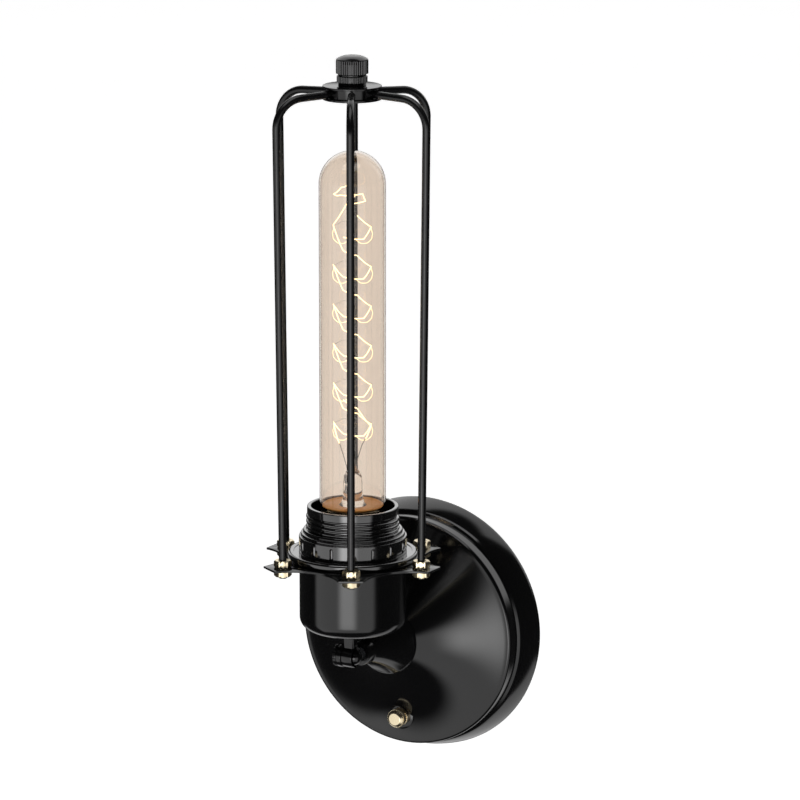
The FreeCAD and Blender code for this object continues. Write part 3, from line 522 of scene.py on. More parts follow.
def mixed(nodes, links, mask, first, second):
    """A colour between two, by a mask socket."""
    mix = nodes.new("ShaderNodeMix")
    mix.data_type = "RGBA"
    mix.inputs["A"].default_value = (*first, 1.0)
    mix.inputs["B"].default_value = (*second, 1.0)
    links.new(mask, mix.inputs["Factor"])
    return mix


GLASS_IOR = 1.46
DUST_COLOUR = (0.35, 0.34, 0.32, 1.0)


def surface(name, colour, edge_colour, low, high, metallic=0.0, coarse=40.0, fine=900.0, bump=0.02,
            bump_deep=0.0001, wear=0.5, coat=0.0, coat_rough=0.08, specular=0.5):
    """An opaque finish with grain, worn edges and a little dust."""
    material, nodes, links, shader = new_material(name)
    grain = place_effect(nodes, GRAIN, {"Coarse Scale": coarse, "Fine Scale": fine, "Low": low, "High": high})
    edges = place_effect(nodes, WEAR, {"Amount": wear})
    dust = place_effect(nodes, DUST, {"Amount": 0.02})
    worn = mixed(nodes, links, edges.outputs["Mask"], colour, edge_colour)
    dusty = nodes.new("ShaderNodeMix")
    dusty.data_type = "RGBA"
    dusty.inputs["B"].default_value = DUST_COLOUR
    links.new(worn.outputs["Result"], dusty.inputs["A"])
    links.new(dust.outputs["Mask"], dusty.inputs["Factor"])
    links.new(dusty.outputs["Result"], shader.inputs["Base Color"])
    links.new(grain.outputs["Roughness"], shader.inputs["Roughness"])
    relief = nodes.new("ShaderNodeBump")
    relief.inputs["Strength"].default_value = bump
    relief.inputs["Distance"].default_value = bump_deep
    links.new(grain.outputs["Height"], relief.inputs["Height"])
    links.new(relief.outputs["Normal"], shader.inputs["Normal"])
    shader.inputs["Metallic"].default_value = metallic
    shader.inputs["Coat Weight"].default_value = coat
    shader.inputs["Coat Roughness"].default_value = coat_rough
    shader.inputs["Specular IOR Level"].default_value = specular
    return material


def glass(name, colour, second_colour, low, high):
    """Blown glass: faint streaks in the tint and in the polish."""
    material, nodes, links, shader = new_material(name)
    place = nodes.new("ShaderNodeTexCoord")
    stretch = nodes.new("ShaderNodeMapping")
    stretch.inputs["Scale"].default_value = (60.0, 60.0, 9.0)
    streaks = nodes.new("ShaderNodeTexNoise")
    streaks.inputs["Scale"].default_value = 1.0
    links.new(place.outputs["Object"], stretch.inputs["Vector"])
    links.new(stretch.outputs["Vector"], streaks.inputs["Vector"])
    tint = mixed(nodes, links, streaks.outputs["Fac"], colour, second_colour)
    links.new(tint.outputs["Result"], shader.inputs["Base Color"])
    grain = place_effect(nodes, GRAIN, {"Coarse Scale": 30.0, "Fine Scale": 200.0, "Low": low, "High": high})
    links.new(grain.outputs["Roughness"], shader.inputs["Roughness"])
    shader.inputs["Transmission Weight"].default_value = 1.0
    shader.inputs["IOR"].default_value = GLASS_IOR
    return material


def glowing(name, hot, cool, strength):
    """A lit filament, hotter and cooler along its length."""
    material, nodes, links, shader = new_material(name)
    place = nodes.new("ShaderNodeTexCoord")
    noise = nodes.new("ShaderNodeTexNoise")
    noise.inputs["Scale"].default_value = 120.0
    links.new(place.outputs["Object"], noise.inputs["Vector"])
    heat = mixed(nodes, links, noise.outputs["Fac"], hot, cool)
    links.new(heat.outputs["Result"], shader.inputs["Emission Color"])
    links.new(heat.outputs["Result"], shader.inputs["Base Color"])
    shader.inputs["Emission Strength"].default_value = strength
    return material


BLACK = surface("black_enamel", (0.0030, 0.0030, 0.0033), (0.012, 0.012, 0.013), 0.10, 0.16,
                coarse=28.0, fine=1500.0, bump=0.04, bump_deep=0.00003, wear=0.2, coat=0.2, coat_rough=0.05)
ROD_BLACK = surface("rod_enamel", (0.004, 0.004, 0.0044), (0.02, 0.02, 0.02), 0.20, 0.28,
                    coarse=60.0, fine=2500.0, bump=0.08, bump_deep=0.00003, wear=0.2)
MOULDED = surface("black_moulding", (0.0032, 0.0032, 0.0034), (0.015, 0.014, 0.013), 0.08, 0.14,
                  coarse=70.0, fine=2200.0, bump=0.03, bump_deep=0.00003, wear=0.2, coat=1.0, coat_rough=0.05,
                  specular=0.9)
BRASS = surface("bright_brass", (0.93, 0.80, 0.55), (1.0, 0.90, 0.68), 0.22, 0.32, metallic=1.0,
                coarse=220.0, fine=3000.0, bump=0.05, bump_deep=0.00002, wear=0.2)
ZINC = surface("zinc_steel", (0.55, 0.56, 0.58), (0.75, 0.76, 0.78), 0.28, 0.42, metallic=1.0,
               coarse=120.0, fine=2600.0, bump=0.15, bump_deep=0.00003)
NICKEL = surface("nickel_wire", (0.30, 0.28, 0.26), (0.5, 0.48, 0.45), 0.25, 0.4, metallic=1.0,
                 coarse=300.0, fine=3000.0)
COPPER = surface("copper_cement", (0.95, 0.47, 0.14), (1.0, 0.62, 0.30), 0.35, 0.5,
                 coarse=160.0, fine=1200.0, bump=0.2, bump_deep=0.0001, wear=0.4)
DARK_GLASS = surface("black_glass", (0.01, 0.01, 0.012), (0.05, 0.05, 0.05), 0.05, 0.12, coarse=90.0)
AMBER = glass("amber_glass", (0.860, 0.785, 0.715), (0.825, 0.745, 0.665), 0.0, 0.02)
CLEAR = glass("clear_glass", (0.97, 0.96, 0.95), (0.95, 0.94, 0.92), 0.0, 0.03)
GLOW = glowing("filament_glow", (1.0, 0.86, 0.52), (1.0, 0.76, 0.38), 2.6)


def dress(piece, material, body, nodes=()):
    """Give a finished piece its finish and body, and hide the nodes it stands for."""
    piece.data.materials.clear()
    piece.data.materials.append(material)
    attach(piece, body)
    if nodes:
        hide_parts(*nodes)
    return piece


# ================================================================ on the wall

CANOPY_FRONT = arc_through((CREASE_R, CREASE_DEPTH + CREASE_ROUND), (38.0, 27.2),
                           (NECK_FOOT_R, NECK_SEAT_DEPTH), 26)


def canopy_shape():
    """The spun shell as one turning: bowed side, step, drum, crease and concave front."""
    side = arc_through((59.7, 1.6), (58.25, 7.65), (CANOPY_STEP_R, CANOPY_STEP_DEPTH), 14)
    step = rounded([(CANOPY_STEP_R, CANOPY_STEP_DEPTH, 0.0), (55.7, 13.9, 0.35),
                    (CANOPY_DRUM_R, 14.6, 0.0)], 4)
    outside = [(59.1, 0.0)] + side + step[1:]
    outside += [(CANOPY_DRUM_R, depth) for depth in (16.0, 18.0, 20.0)]
    outside += [(CREASE_R + CREASE_ROUND * math.cos(a), CREASE_DEPTH + CREASE_ROUND * math.sin(a))
                for a in quarter(10)]
    outside += CANOPY_FRONT[1:]
    outside += [(NECK_HOLE_R, NECK_SEAT_DEPTH)]
    inside = [(NECK_HOLE_R, NECK_SEAT_DEPTH - CANOPY_SHEET), (15.4, NECK_SEAT_DEPTH - CANOPY_SHEET)]
    inside += [(r, depth - CANOPY_SHEET) for r, depth in reversed(CANOPY_FRONT)][1:-1]
    inside += [(CREASE_R, 20.7), (53.4, 19.8), (53.4, 14.6), (55.0, 13.0)]
    inside += [(r - CANOPY_SHEET, depth) for r, depth in reversed(side)]
    inside += [(57.9, 0.0)]
    return turning("canopy_shell", outside + inside, wall_place, 256)


def cap_nut_place(side):
    """Turnings on the axis of the upper (side 1) or the lower (side -1) cap nut."""
    shift = Vector((0.0, 0.0, side * CAP_NUT_Z * MM))
    return lambda x, y, z: wall_place(x, y, z) + shift


def nut_wells():
    """The flat seats pressed into the canopy under the cap nuts."""
    stud_hole_r = 2.05
    back = 25.5
    seat = rounded([(stud_hole_r, back, 0.0), (6.3, back, 0.2), (6.3, 26.3, 0.2),
                    (CAP_NUT_SEAT_R, CAP_NUT_SEAT_DEPTH, 0.2), (stud_hole_r, CAP_NUT_SEAT_DEPTH, 0.0)], 3)
    return [turning("seat", seat, cap_nut_place(side), 64) for side in (-1.0, 1.0)]


def make_canopy():
    """The shell with a well cut for each cap nut, and the wells' flat seats."""
    shell = canopy_shape()
    well = [(0.0, 20.0), (CAP_NUT_SEAT_R, 20.0), (CAP_NUT_SEAT_R, 34.0), (0.0, 34.0)]
    cutters = [turning("cutter", well, cap_nut_place(side), 64) for side in (-1.0, 1.0)]
    cutter = joined("well_cutter", cutters)
    cut = shell.modifiers.new("wells", "BOOLEAN")
    cut.operation = "DIFFERENCE"
    cut.solver = "EXACT"
    cut.object = cutter
    mesh = shown_mesh(shell)
    shell.modifiers.clear()
    shell.data = mesh
    bpy.data.objects.remove(cutter)
    canopy = joined("canopy_dish", [shell] + nut_wells())
    return dress(canopy, BLACK, "wall_plate", ["canopy"])


def make_neck():
    """Hollow trumpet that flares onto the canopy, with the swivel's lug at its end."""
    foot = NECK_SEAT_DEPTH + 0.02   # a little air on the canopy
    neck_r = 5.6
    nipple_hole_r = 5.05
    end_hole_r = 3.6
    flare = arc_through((NECK_FOOT_R, 41.5), (8.6, 54.0), (neck_r, 61.7), 24)
    outline = [(nipple_hole_r, foot), (NECK_FOOT_R - 0.1, foot), (NECK_FOOT_R, 40.9)] + flare
    outline += [(neck_r, 66.6), (neck_r - 0.3, 67.2), (end_hole_r, 67.3), (end_hole_r, 52.0),
                (nipple_hole_r, 52.0)]
    trumpet = turning("neck_turning", outline, wall_place, 128)
    lug = lug_mesh("lug", LUG_LEFT_X, LUG_RIGHT_X, 5.2, 5.5)
    neck = joined("arm_trumpet", [trumpet, lug])
    return dress(neck, BLACK, "wall_plate", ["arm_neck"])


def across_place(x, y, z):
    """A turning whose axis is the pivot: z of the turning runs along +X."""
    return Vector((z, LAMP_Y + x, y)) * MM


def lug_mesh(name, left, right, radius, tail):
    """Rounded plate on the pivot axis with a straight tail towards the wall."""
    steps = 28
    pin_hole_r = 1.97
    angles = [HALF_PI + math.pi * k / steps for k in range(steps + 1)]
    half_round = [(radius * math.cos(a), radius * math.sin(a)) for a in angles]
    outline = [(tail, radius)] + half_round + [(tail, -radius)]
    plate = prism(name, outline, left, right, 0.35, [circle_points(pin_hole_r, steps=32)])
    swap = Matrix(((0, 0, 1, 0), (1, 0, 0, LAMP_Y * MM), (0, 1, 0, 0), (0, 0, 0, 1)))
    plate.data.transform(swap)
    return plate


def make_swivel_screw():
    """The pivot: a plain shank and a domed head on its right end."""
    head_r = 3.65
    head_high = 2.8
    head_start = 1.7
    shank_r = 1.95
    left_end = -8.9
    sphere = (head_r ** 2 + head_high ** 2) / (2 * head_high)
    dome = []
    for k in range(15):
        reach = head_r * math.cos(k / 14 * HALF_PI)
        rise = math.sqrt(max(sphere ** 2 - reach ** 2, 0.0)) - (sphere - head_high)
        dome.append((max(reach, 0.0), head_start + max(rise, 0.15)))
    outline = [(0.0, left_end), (1.6, left_end), (shank_r, left_end + 0.4), (shank_r, head_start),
               (head_r - 0.1, head_start)] + dome
    screw = turning("pivot_screw", outline, across_place, 64)
    return dress(screw, BLACK, "wall_plate", ["swivel_screw"])


def make_thumb_nut():
    """A disc with fine ribs on its rim, against the lug's left side."""
    hole_r = 2.0
    rim_r = 5.15
    left = -8.3
    outline = rounded([(hole_r, left, 0.2), (rim_r, left, 0.5), (rim_r, LUG_LEFT_X, 0.5),
                       (hole_r, LUG_LEFT_X, 0.0)], 5)
    disc = turning("nut_disc", outline, across_place, 96)
    middle = across_place(0.0, 0.0, (left + LUG_LEFT_X) / 2.0)
    ribs = grip_ribs("nut_ribs", 26, 5.0, 0.3, 1.2, middle, (0.0, HALF_PI, 0.0), BLACK)
    nut = joined("thumb_nut", [disc, ribs])
    return dress(nut, BLACK, "thumb_nut", ["swivel_nut"])


def make_cap_nut(name, body, node, side):
    """Domed brass nut: a smooth flange, a neck and a ribbed grip."""
    foot = CAP_NUT_SEAT_DEPTH
    bore_r = 2.1
    grip_r = 4.1
    neck_r = 3.4
    outline = rounded([(0.0, 33.1, 0.0), (2.9, 33.0, 0.8), (grip_r, 31.9, 0.5), (grip_r, 28.9, 0.2),
                       (neck_r, 28.9, 0.15), (neck_r, 28.2, 0.15), (4.3, 28.2, 0.3), (4.35, foot, 0.2),
                       (bore_r, foot, 0.0), (bore_r, 30.0, 0.0), (0.0, 30.0, 0.0)], 4)
    head = turning("head", outline, cap_nut_place(side), 72)
    grip_middle = Vector((0.0, -30.4, side * CAP_NUT_Z)) * MM
    ribs = grip_ribs("ribs", 30, grip_r, 0.24, 2.4, grip_middle, (HALF_PI, 0.0, 0.0), BRASS)
    nut = joined(name, [head, ribs])
    return dress(nut, BRASS, body, [node])


# ================================================================ lamp head

def make_stem():
    """The lamp half of the swivel: an eye on the pivot, a bar and a threaded end."""
    middle = (EYE_LEFT_X + EYE_RIGHT_X) / 2.0
    hole_r = 1.98
    barrel_r = 4.85
    bar_wide = 5.4
    bar_deep = 5.0
    bar_high = 9.9
    bar_middle_z = 8.8
    share_at_eye = 0.88             # of the bar's width and depth, where it leaves the eye
    thread_r = 2.2
    thread_top = 19.5
    eye = lug_mesh("eye", EYE_LEFT_X, EYE_RIGHT_X, 4.9, 0.6)
    barrel = rounded([(hole_r, EYE_LEFT_X, 0.2), (barrel_r, EYE_LEFT_X, 0.3),
                      (barrel_r, EYE_RIGHT_X, 0.3), (hole_r, EYE_RIGHT_X, 0.2)], 3)
    back = turning("eye_back", barrel, across_place, 64)
    work = bmesh.new()
    bmesh.ops.create_cube(work, size=1.0)
    for vert in work.verts:
        x, y, z = vert.co
        share = 1.0 if z > 0 else share_at_eye
        vert.co = Vector((middle + x * bar_wide * share, LAMP_Y + y * bar_deep * share,
                          bar_middle_z + z * bar_high)) * MM
    bmesh.ops.bevel(work, geom=list(work.edges), offset=0.45 * MM, segments=3, affect="EDGES")
    bar = finish_mesh("bar", work)
    outline = [(0.0, 13.5), (thread_r, 13.5), (thread_r, thread_top - 0.2), (thread_r - 0.2, thread_top),
               (0.0, thread_top)]
    thread = turning("stem_thread", outline, upright_place(middle, 0.0), 32)
    ridge = screw_ridge("stem_ridge", 6.0, 2.4, 0.25, 4.2, lamp_place(middle, 0.0, 14.6), BLACK, 32)
    stem = joined("swivel_bar", [eye, back, bar, thread, ridge])
    return dress(stem, BLACK, "lamp_head", ["swivel_stem"])


def make_cup():
    """Spun cup with a round bottom corner and a ledge for the holder's flange."""
    inner_r = 22.2
    ledge_r = 23.1
    floor_top = 15.6
    corner_top = CUP_LOW_Z + CUP_CORNER_R
    outline = [(CUP_R - 0.3, PLATE_LOW_Z), (CUP_R, PLATE_LOW_Z - 0.3)]
    outline += [(CUP_R, 44.0 - k * 2.4) for k in range(10)]     # rings down the straight side
    outline += [(CUP_R - CUP_CORNER_R * (1 - math.cos(a)), corner_top - CUP_CORNER_R * math.sin(a))
                for a in quarter(16)]
    outline += [(12.0, CUP_LOW_Z), (6.0, CUP_LOW_Z), (0.0, CUP_LOW_Z), (0.0, floor_top), (18.0, floor_top)]
    outline += [(20.6, 16.8), (inner_r, corner_top), (inner_r, CUP_LEDGE_Z)]
    outline += [(ledge_r, CUP_LEDGE_Z), (ledge_r, PLATE_LOW_Z)]
    cup = turning("socket_shell", outline, lamp_place, 192)
    return dress(cup, BLACK, "lamp_head", ["socket_cup"])


def make_lampholder():
    """Moulded body with a flange in the cup, an outside thread and a smooth rim band."""
    plug_r = 19.0
    flange_r = 23.0
    rim_r = 20.75
    bore_r = 18.9
    floor_r = 13.6
    outline = rounded([
        (0.0, 24.0, 0.0), (plug_r, 24.0, 1.0), (plug_r, CUP_LEDGE_Z, 0.0), (flange_r, CUP_LEDGE_Z, 0.2),
        (flange_r, PLATE_LOW_Z, 0.2), (HOLDER_R, PLATE_LOW_Z, 0.0), (HOLDER_R, 67.5, 0.0), (rim_r, 68.0, 0.3),
        (rim_r, HOLDER_TOP_Z, 0.5), (bore_r, HOLDER_TOP_Z, 0.5), (bore_r, 44.5, 0.4), (floor_r, 44.5, 0.2),
        (floor_r, 41.5, 0.0), (0.0, 41.5, 0.0)], 5)
    holder = turning("holder_body", outline, lamp_place, 160)
    thread_foot = lamp_place(0.0, 0.0, 47.3)
    ridge = screw_ridge("holder_ridge", 8.7, HOLDER_THREAD_R, 0.9, 20.0, thread_foot, MOULDED, 96)
    body = joined("threaded_lampholder", [holder, ridge])
    return dress(body, MOULDED, "lamp_head", ["lampholder"])


def make_shade_ring():
    """Ring with a rounded flange, a grip with hollow notches, round at the top, and a bead."""
    low = PLATE_TOP_Z + RUB_GAP
    notches = 16
    half_wide = 0.95
    first_notch = math.radians(5.5)
    notch_low = 51.2
    notch_top = 56.6
    deep = 1.0
    body_r = 24.5

    def half_angle(z):
        """Half the width of a flute at this height; its upper end is a half circle."""
        if z < notch_low - 0.001 or z > notch_top + 0.001:
            return 0.0
        above = max(z - (notch_top - half_wide), 0.0)
        return math.sqrt(max(half_wide ** 2 - above ** 2, 0.0)) / body_r

    # rings of the grip lie close together where the notches end
    wall = [(body_r, z) for z in (51.0, notch_low - 0.02, notch_low, 52.0, 53.0, 54.0, 55.0, 55.65,
                                  55.9, 56.1, 56.3, 56.45, 56.55, notch_top, 56.9, 57.2)]
    top = rounded([(body_r, 57.2, 0.0), (body_r, 57.75, 0.5), (23.5, 57.9, 0.2), (23.75, 58.4, 0.4),
                   (23.6, 59.2, 0.4), (22.5, 59.45, 0.2), (22.7, 60.0, 0.4), (22.4, 60.9, 0.4),
                   (RING_BORE_R, 61.0, 0.0)], 5)[1:]
    flange = rounded([(RING_BORE_R, low, 0.0), (29.6, low, 1.2), (29.6, 50.5, 1.2), (26.9, 50.5, 0.25),
                      (26.9, 50.1, 0.25), (body_r, 50.15, 0.5)], 6)
    outline = flange + wall + top
    work = bmesh.new()
    columns = (-1.0, -0.94, -0.78, -0.5, -0.2, 0.2, 0.5, 0.78, 0.94, 1.0)   # across a notch, edge to edge
    between = 7                     # faces from one notch to the next
    step = FULL_TURN / notches
    rings = []
    for r, z in outline:
        ring = []
        spread = half_angle(z) if abs(r - body_r) < 1e-6 else 0.0
        for n in range(notches):
            centre = first_notch + n * step
            for column in columns:
                round_off = math.sqrt(1.0 - column ** 2) * spread * body_r / half_wide
                rr = r - deep * round_off
                angle = centre + column * (spread if spread > 0.0 else half_wide / body_r)
                ring.append(work.verts.new(lamp_place(rr * math.cos(angle), rr * math.sin(angle), z)))
            left = centre + max(spread, half_wide / body_r)
            right = centre + step - max(spread, half_wide / body_r)
            for k in range(1, between):
                angle = left + (right - left) * k / between
                ring.append(work.verts.new(lamp_place(r * math.cos(angle), r * math.sin(angle), z)))
        rings.append(ring)
    skin(work, rings, True)
    ring = finish_mesh("shade_ring_moulded", work, 40.0)
    return dress(ring, MOULDED, "ring", ["shade_ring"])


# ================================================================ cage

def star_outline():
    """Six flat tips with hollow sides between them."""
    tip_r = 42.9
    tip_half = 5.5
    waist = 32.0
    spread = math.atan2(tip_half, tip_r)
    reach = math.hypot(tip_r, tip_half)
    half_step = math.pi / ARMS
    outline = []
    for i in range(ARMS):
        angle = arm_angle(i)
        ends = [(reach * math.cos(a), reach * math.sin(a)) for a in (angle - spread, angle + spread)]
        following = angle + 2 * half_step - spread
        middle = (waist * math.cos(angle + half_step), waist * math.sin(angle + half_step))
        nxt = (reach * math.cos(following), reach * math.sin(following))
        outline += [ends[0]] + arc_through(ends[1], middle, nxt, 18)[:-1]
    return outline


def make_star_plate():
    """The pointed sheet with its middle hole and a hole for each rod."""
    holes = [circle_points(RING_BORE_R, steps=96)]
    holes += [circle_points(ROD_R + 0.1, *rod_foot(i), 24) for i in range(ARMS)]
    plate = prism("star_sheet", star_outline(), PLATE_LOW_Z, PLATE_TOP_Z, 0.15, holes)
    plate.data.transform(Matrix.Translation((0.0, LAMP_Y * MM, 0.0)))
    return dress(plate, BLACK, "cage", ["star_plate"])


def rod_path(angle):
    """Centre line of one rod: up, round the bend and in to the hub."""
    def at(radius, z):
        """A point in the rod's own plane."""
        return Vector((radius, 0.0, z))

    foot = at(ROD_CIRCLE_R, ROD_TIP_Z + 0.1)
    knee = at(ROD_CIRCLE_R, 50.3)
    corner = at(38.3, 258.8)
    end = at(10.0, 260.02)
    down = (knee - corner).normalized()
    inward = (end - corner).normalized()
    half = down.angle(inward) / 2.0
    setback = ROD_BEND_R / math.tan(half)
    start = corner + down * setback
    finish = corner + inward * setback
    to_centre = (down + inward).normalized()
    centre = corner + to_centre * (ROD_BEND_R / math.sin(half))
    first = (start - centre).normalized()
    last = (finish - centre).normalized()
    sweep = first.angle(last)
    bend = []
    for k in range(1, 20):
        t = k / 20
        spoke = (first * math.sin((1 - t) * sweep) + last * math.sin(t * sweep)) / math.sin(sweep)
        bend.append(centre + spoke * ROD_BEND_R)
    line = [foot, at(ROD_CIRCLE_R, 46.0), knee, knee.lerp(start, 0.33), knee.lerp(start, 0.66), start] + bend
    line += [finish, finish.lerp(end, 0.5), end]
    turn = Matrix.Rotation(angle, 3, "Z")
    placed = [turn @ p for p in line]
    return [lamp_place(p.x, p.y, p.z) for p in placed]


def make_rods():
    """Six bent rods, each with a turned lower end and a screw thread."""
    end_r = 1.7
    end_top = 42.6
    tip = rounded([(0.0, ROD_TIP_Z, 0.0), (0.0, end_top, 0.0), (end_r, end_top, 0.0),
                   (end_r, ROD_TIP_Z + 0.2, 0.1), (end_r - 0.3, ROD_TIP_Z, 0.1)], 2)
    for i in range(ARMS):
        x, y = rod_foot(i)
        bar = tube("bar", rod_path(arm_angle(i)), ROD_R * MM, 20)
        end = turning("end", tip, upright_place(x, y), 20)
        thread_foot = lamp_place(x, y, ROD_TIP_Z + 0.1)
        ridge = screw_ridge("ridge", 12.0, ROD_R, 0.16, 8.0, thread_foot, ROD_BLACK, 24)
        rod = joined("rod_bent_%d" % (i + 1), [bar, end, ridge])
        dress(rod, ROD_BLACK, "cage", ["cage_rod_%d" % (i + 1)])


def hex_nut(place, turn):
    """Hexagon nut with turned corners and a countersunk bore."""
    flats = NUT_AF / 2.0
    corner = flats / math.cos(math.pi / 6.0)
    bore_r = 1.78
    sink_r = 2.1
    sink = 0.3
    chamfer = 0.42
    levels = [(0.0, sink_r), (0.0, flats), (chamfer, corner), (NUT_THICK - chamfer, corner),
              (NUT_THICK, flats), (NUT_THICK, sink_r), (NUT_THICK - sink, bore_r), (sink, bore_r)]
    work = bmesh.new()
    segments = 72
    rings = []
    for h, r in levels:
        ring = []
        for s in range(segments):
            angle = FULL_TURN * s / segments
            sector = (angle + math.pi / 6.0) % (math.pi / 3.0) - math.pi / 6.0
            rr = min(r, flats / math.cos(sector))
            ring.append(work.verts.new(place(rr * math.cos(angle + turn), rr * math.sin(angle + turn), h)))
        rings.append(ring)
    skin(work, rings, True)
    return finish_mesh("nut", work, 24.0)


def make_rod_nuts(name, node, low_z, turns):
    """Six nuts in one piece, each turned by its own few degrees."""
    nuts = []
    for i in range(ARMS):
        nuts.append(hex_nut(upright_place(*rod_foot(i), low_z), arm_angle(i) + math.radians(turns[i])))
    return dress(joined(name, nuts), BRASS, "cage", [node])


def make_spool():
    """The drum that the rods' upper ends run into, and its lid."""
    drum_r = 10.8
    lip_top = SPOOL_LOW_Z + 1.0
    drum = rounded([(0.0, SPOOL_LOW_Z, 0.0), (SPOOL_R, SPOOL_LOW_Z, 0.25), (SPOOL_R, lip_top, 0.25),
                    (drum_r, lip_top, 0.2), (drum_r, SPOOL_CAP_Z, 0.0), (0.0, SPOOL_CAP_Z, 0.0)], 4)
    hub = turning("spool_drum", drum, lamp_place, 128)
    dress(hub, BLACK, "cage", ["spool_hub"])
    stud_hole_r = 2.0
    lid = rounded([(stud_hole_r, SPOOL_CAP_Z, 0.0), (SPOOL_R, SPOOL_CAP_Z, 0.25), (SPOOL_R, SPOOL_TOP_Z, 0.3),
                   (stud_hole_r, SPOOL_TOP_Z, 0.0)], 4)
    cap = turning("spool_lid", lid, lamp_place, 128)
    dress(cap, BLACK, "cage", ["spool_cap"])


def make_finial():
    """The knob: a foot, a ribbed collar, a ribbed head and a shallow crown."""
    foot = SPOOL_TOP_Z + RUB_GAP
    bore_r = 2.1
    bore_top = 270.5
    waist_r = 6.3
    collar_r = 6.7
    head_r = 6.9
    crown = arc_through((7.0, 275.1), (5.2, 276.05), (0.0, 276.5), 12)
    outline = rounded([(bore_r, foot, 0.0), (waist_r, foot, 0.2), (waist_r, 264.7, 0.2),
                       (collar_r, 264.8, 0.2), (collar_r, 267.6, 0.3), (waist_r, 267.8, 0.2),
                       (waist_r, 268.3, 0.2), (head_r, 268.6, 0.3), (head_r, 274.6, 0.3)], 4)
    outline += crown + [(0.0, bore_top), (bore_r, bore_top)]
    turned = turning("knob", outline, lamp_place, 128)
    head = grip_ribs("head_ribs", 44, 6.95, 0.33, 6.0, lamp_place(0.0, 0.0, 271.7), UPRIGHT, BLACK)
    collar = grip_ribs("collar_ribs", 44, 6.65, 0.25, 2.6, lamp_place(0.0, 0.0, 266.2), UPRIGHT, BLACK)
    grip = joined("finial_grip", [turned, head, collar])
    return dress(grip, BLACK, "finial", ["finial_knob"])


# ================================================================ bulb

def make_bulb_glass():
    """Tubular glass with a real wall: a domed top, a straight side and a flat foot."""
    def shell(inset):
        """The half outline, drawn in by the wall."""
        radius = BULB_R - inset
        dome_z = BULB_TOP_Z - BULB_R
        dome = [(radius * math.cos(a), dome_z + radius * math.sin(a)) for a in quarter(24)]
        dome[-1] = (0.0, BULB_TOP_Z - inset)
        side = [(radius, dome_z - k * (dome_z - 74.0) / 12) for k in range(1, 13)]
        foot_r = BULB_FOOT_ROUND - inset
        low = BULB_LOW_Z + inset
        foot = [(radius - foot_r * (1 - math.cos(a)), low + foot_r * (1 - math.sin(a))) for a in quarter(8)]
        return list(reversed(dome)) + side + foot + [(0.0, low)]

    outer = turning("outer", shell(0.0), lamp_place, 160, closed=False)
    inner = turning("inner", shell(BULB_GLASS), lamp_place, 160, closed=False)
    inner.data.flip_normals()
    envelope = joined("bulb_envelope", [outer, inner])
    return dress(envelope, AMBER, "bulb", ["bulb_glass"])


def make_bulb_foot():
    """The copper coloured disc that shows through the foot of the bulb."""
    outline = rounded([(0.0, 70.9, 0.0), (12.6, 70.9, 0.3), (14.1, 71.9, 0.2), (13.6, 72.3, 0.2),
                       (12.4, 71.7, 0.4), (0.0, 71.5, 0.0)], 4)
    disc = turning("bulb_foot_disc", outline, lamp_place, 96)
    return dress(disc, COPPER, "bulb")


# ---- the winding, laid out as the photo shows it: across, away from the camera and height
VIEW_ANGLE = math.radians(28.0)
WIRE_R = 0.24
LOOP_R = 0.10
LEAD_R = 0.20
HOOK_R = 0.07
WINDING_TURN = ((-8.6, 0.0, 0.0), (-4.2, -3.2, -11.0), (2.2, -3.2, -13.3), (8.4, 0.0, -19.0),
                (5.0, 3.2, -25.2), (-4.2, 3.2, -24.3))      # one turn, from its left hook
WINDING_HIGH_Z = 200.4          # left hook of the highest full turn
WINDING_PITCH = 18.07
WINDING_TURNS = 5
WINDING_TOP = ((-1.2, 1.0, 219.0), (-5.0, 0.5, 217.2), (-8.4, 0.0, 214.4), (-5.5, 1.2, 213.6),
               (4.6, 2.8, 214.0), (6.0, 1.5, 211.0), (-2.6, 2.6, 209.5))
WINDING_FOOT = ((-8.6, 0.0, 110.0), (-7.6, 0.0, 105.0), (-6.0, 0.0, 100.2))
WINDING_TAIL = ((-4.2, -3.2, 121.0), (2.2, -3.2, 117.0), (8.2, 0.0, 108.2), (7.0, 0.0, 105.0),
                (5.8, 0.0, 102.4))
LEADS = (((-2.4, 0.0, 86.4), (-2.8, 0.0, 89.5), (-4.6, 0.0, 96.0), (-6.0, 0.0, 100.4)),
         ((1.6, 0.0, 86.4), (2.2, 0.0, 93.0), (4.2, 0.0, 99.5), (5.8, 0.0, 102.6)))


def view_place(across, away, z):
    """A point given across and away from the photo's line of sight."""
    x = across * math.cos(VIEW_ANGLE) - away * math.sin(VIEW_ANGLE)
    y = across * math.sin(VIEW_ANGLE) + away * math.cos(VIEW_ANGLE)
    return lamp_place(x, y, z)


def make_stem_glass():
    """The clear stem: a flared foot, a taper, a thin rod and a button at its top."""
    outline = [(0.0, 71.8), (6.2, 71.8), (5.2, 73.0), (4.6, 75.0), (4.4, 78.0), (4.4, 82.0), (4.1, 85.0),
               (3.2, 87.0), (1.9, 88.4), (1.1, 90.0), (0.8, 94.0), (0.8, 212.0), (1.3, 213.2), (1.1, 214.4),
               (0.0, 214.8)]
    stem = turning("glass_stem", outline, lamp_place, 48)
    return dress(stem, CLEAR, "bulb", ["bulb_stem"])


def slack(points, sag, steps=5):
    """Corners joined by wire that hangs a little between them."""
    line = []
    for (a0, b0, z0), (a1, b1, z1) in zip(points, points[1:]):
        for k in range(steps):
            t = k / steps
            drop = sag * math.sin(math.pi * t)
            height = z0 + (z1 - z0) * t - drop
            line.append(view_place(a0 + (a1 - a0) * t, b0 + (b1 - b0) * t, height))
    line.append(view_place(*points[-1]))
    return line


def turn_heights():
    """Height of the left hook of each turn, from the top down."""
    return [WINDING_HIGH_Z - i * WINDING_PITCH for i in range(WINDING_TURNS + 1)]


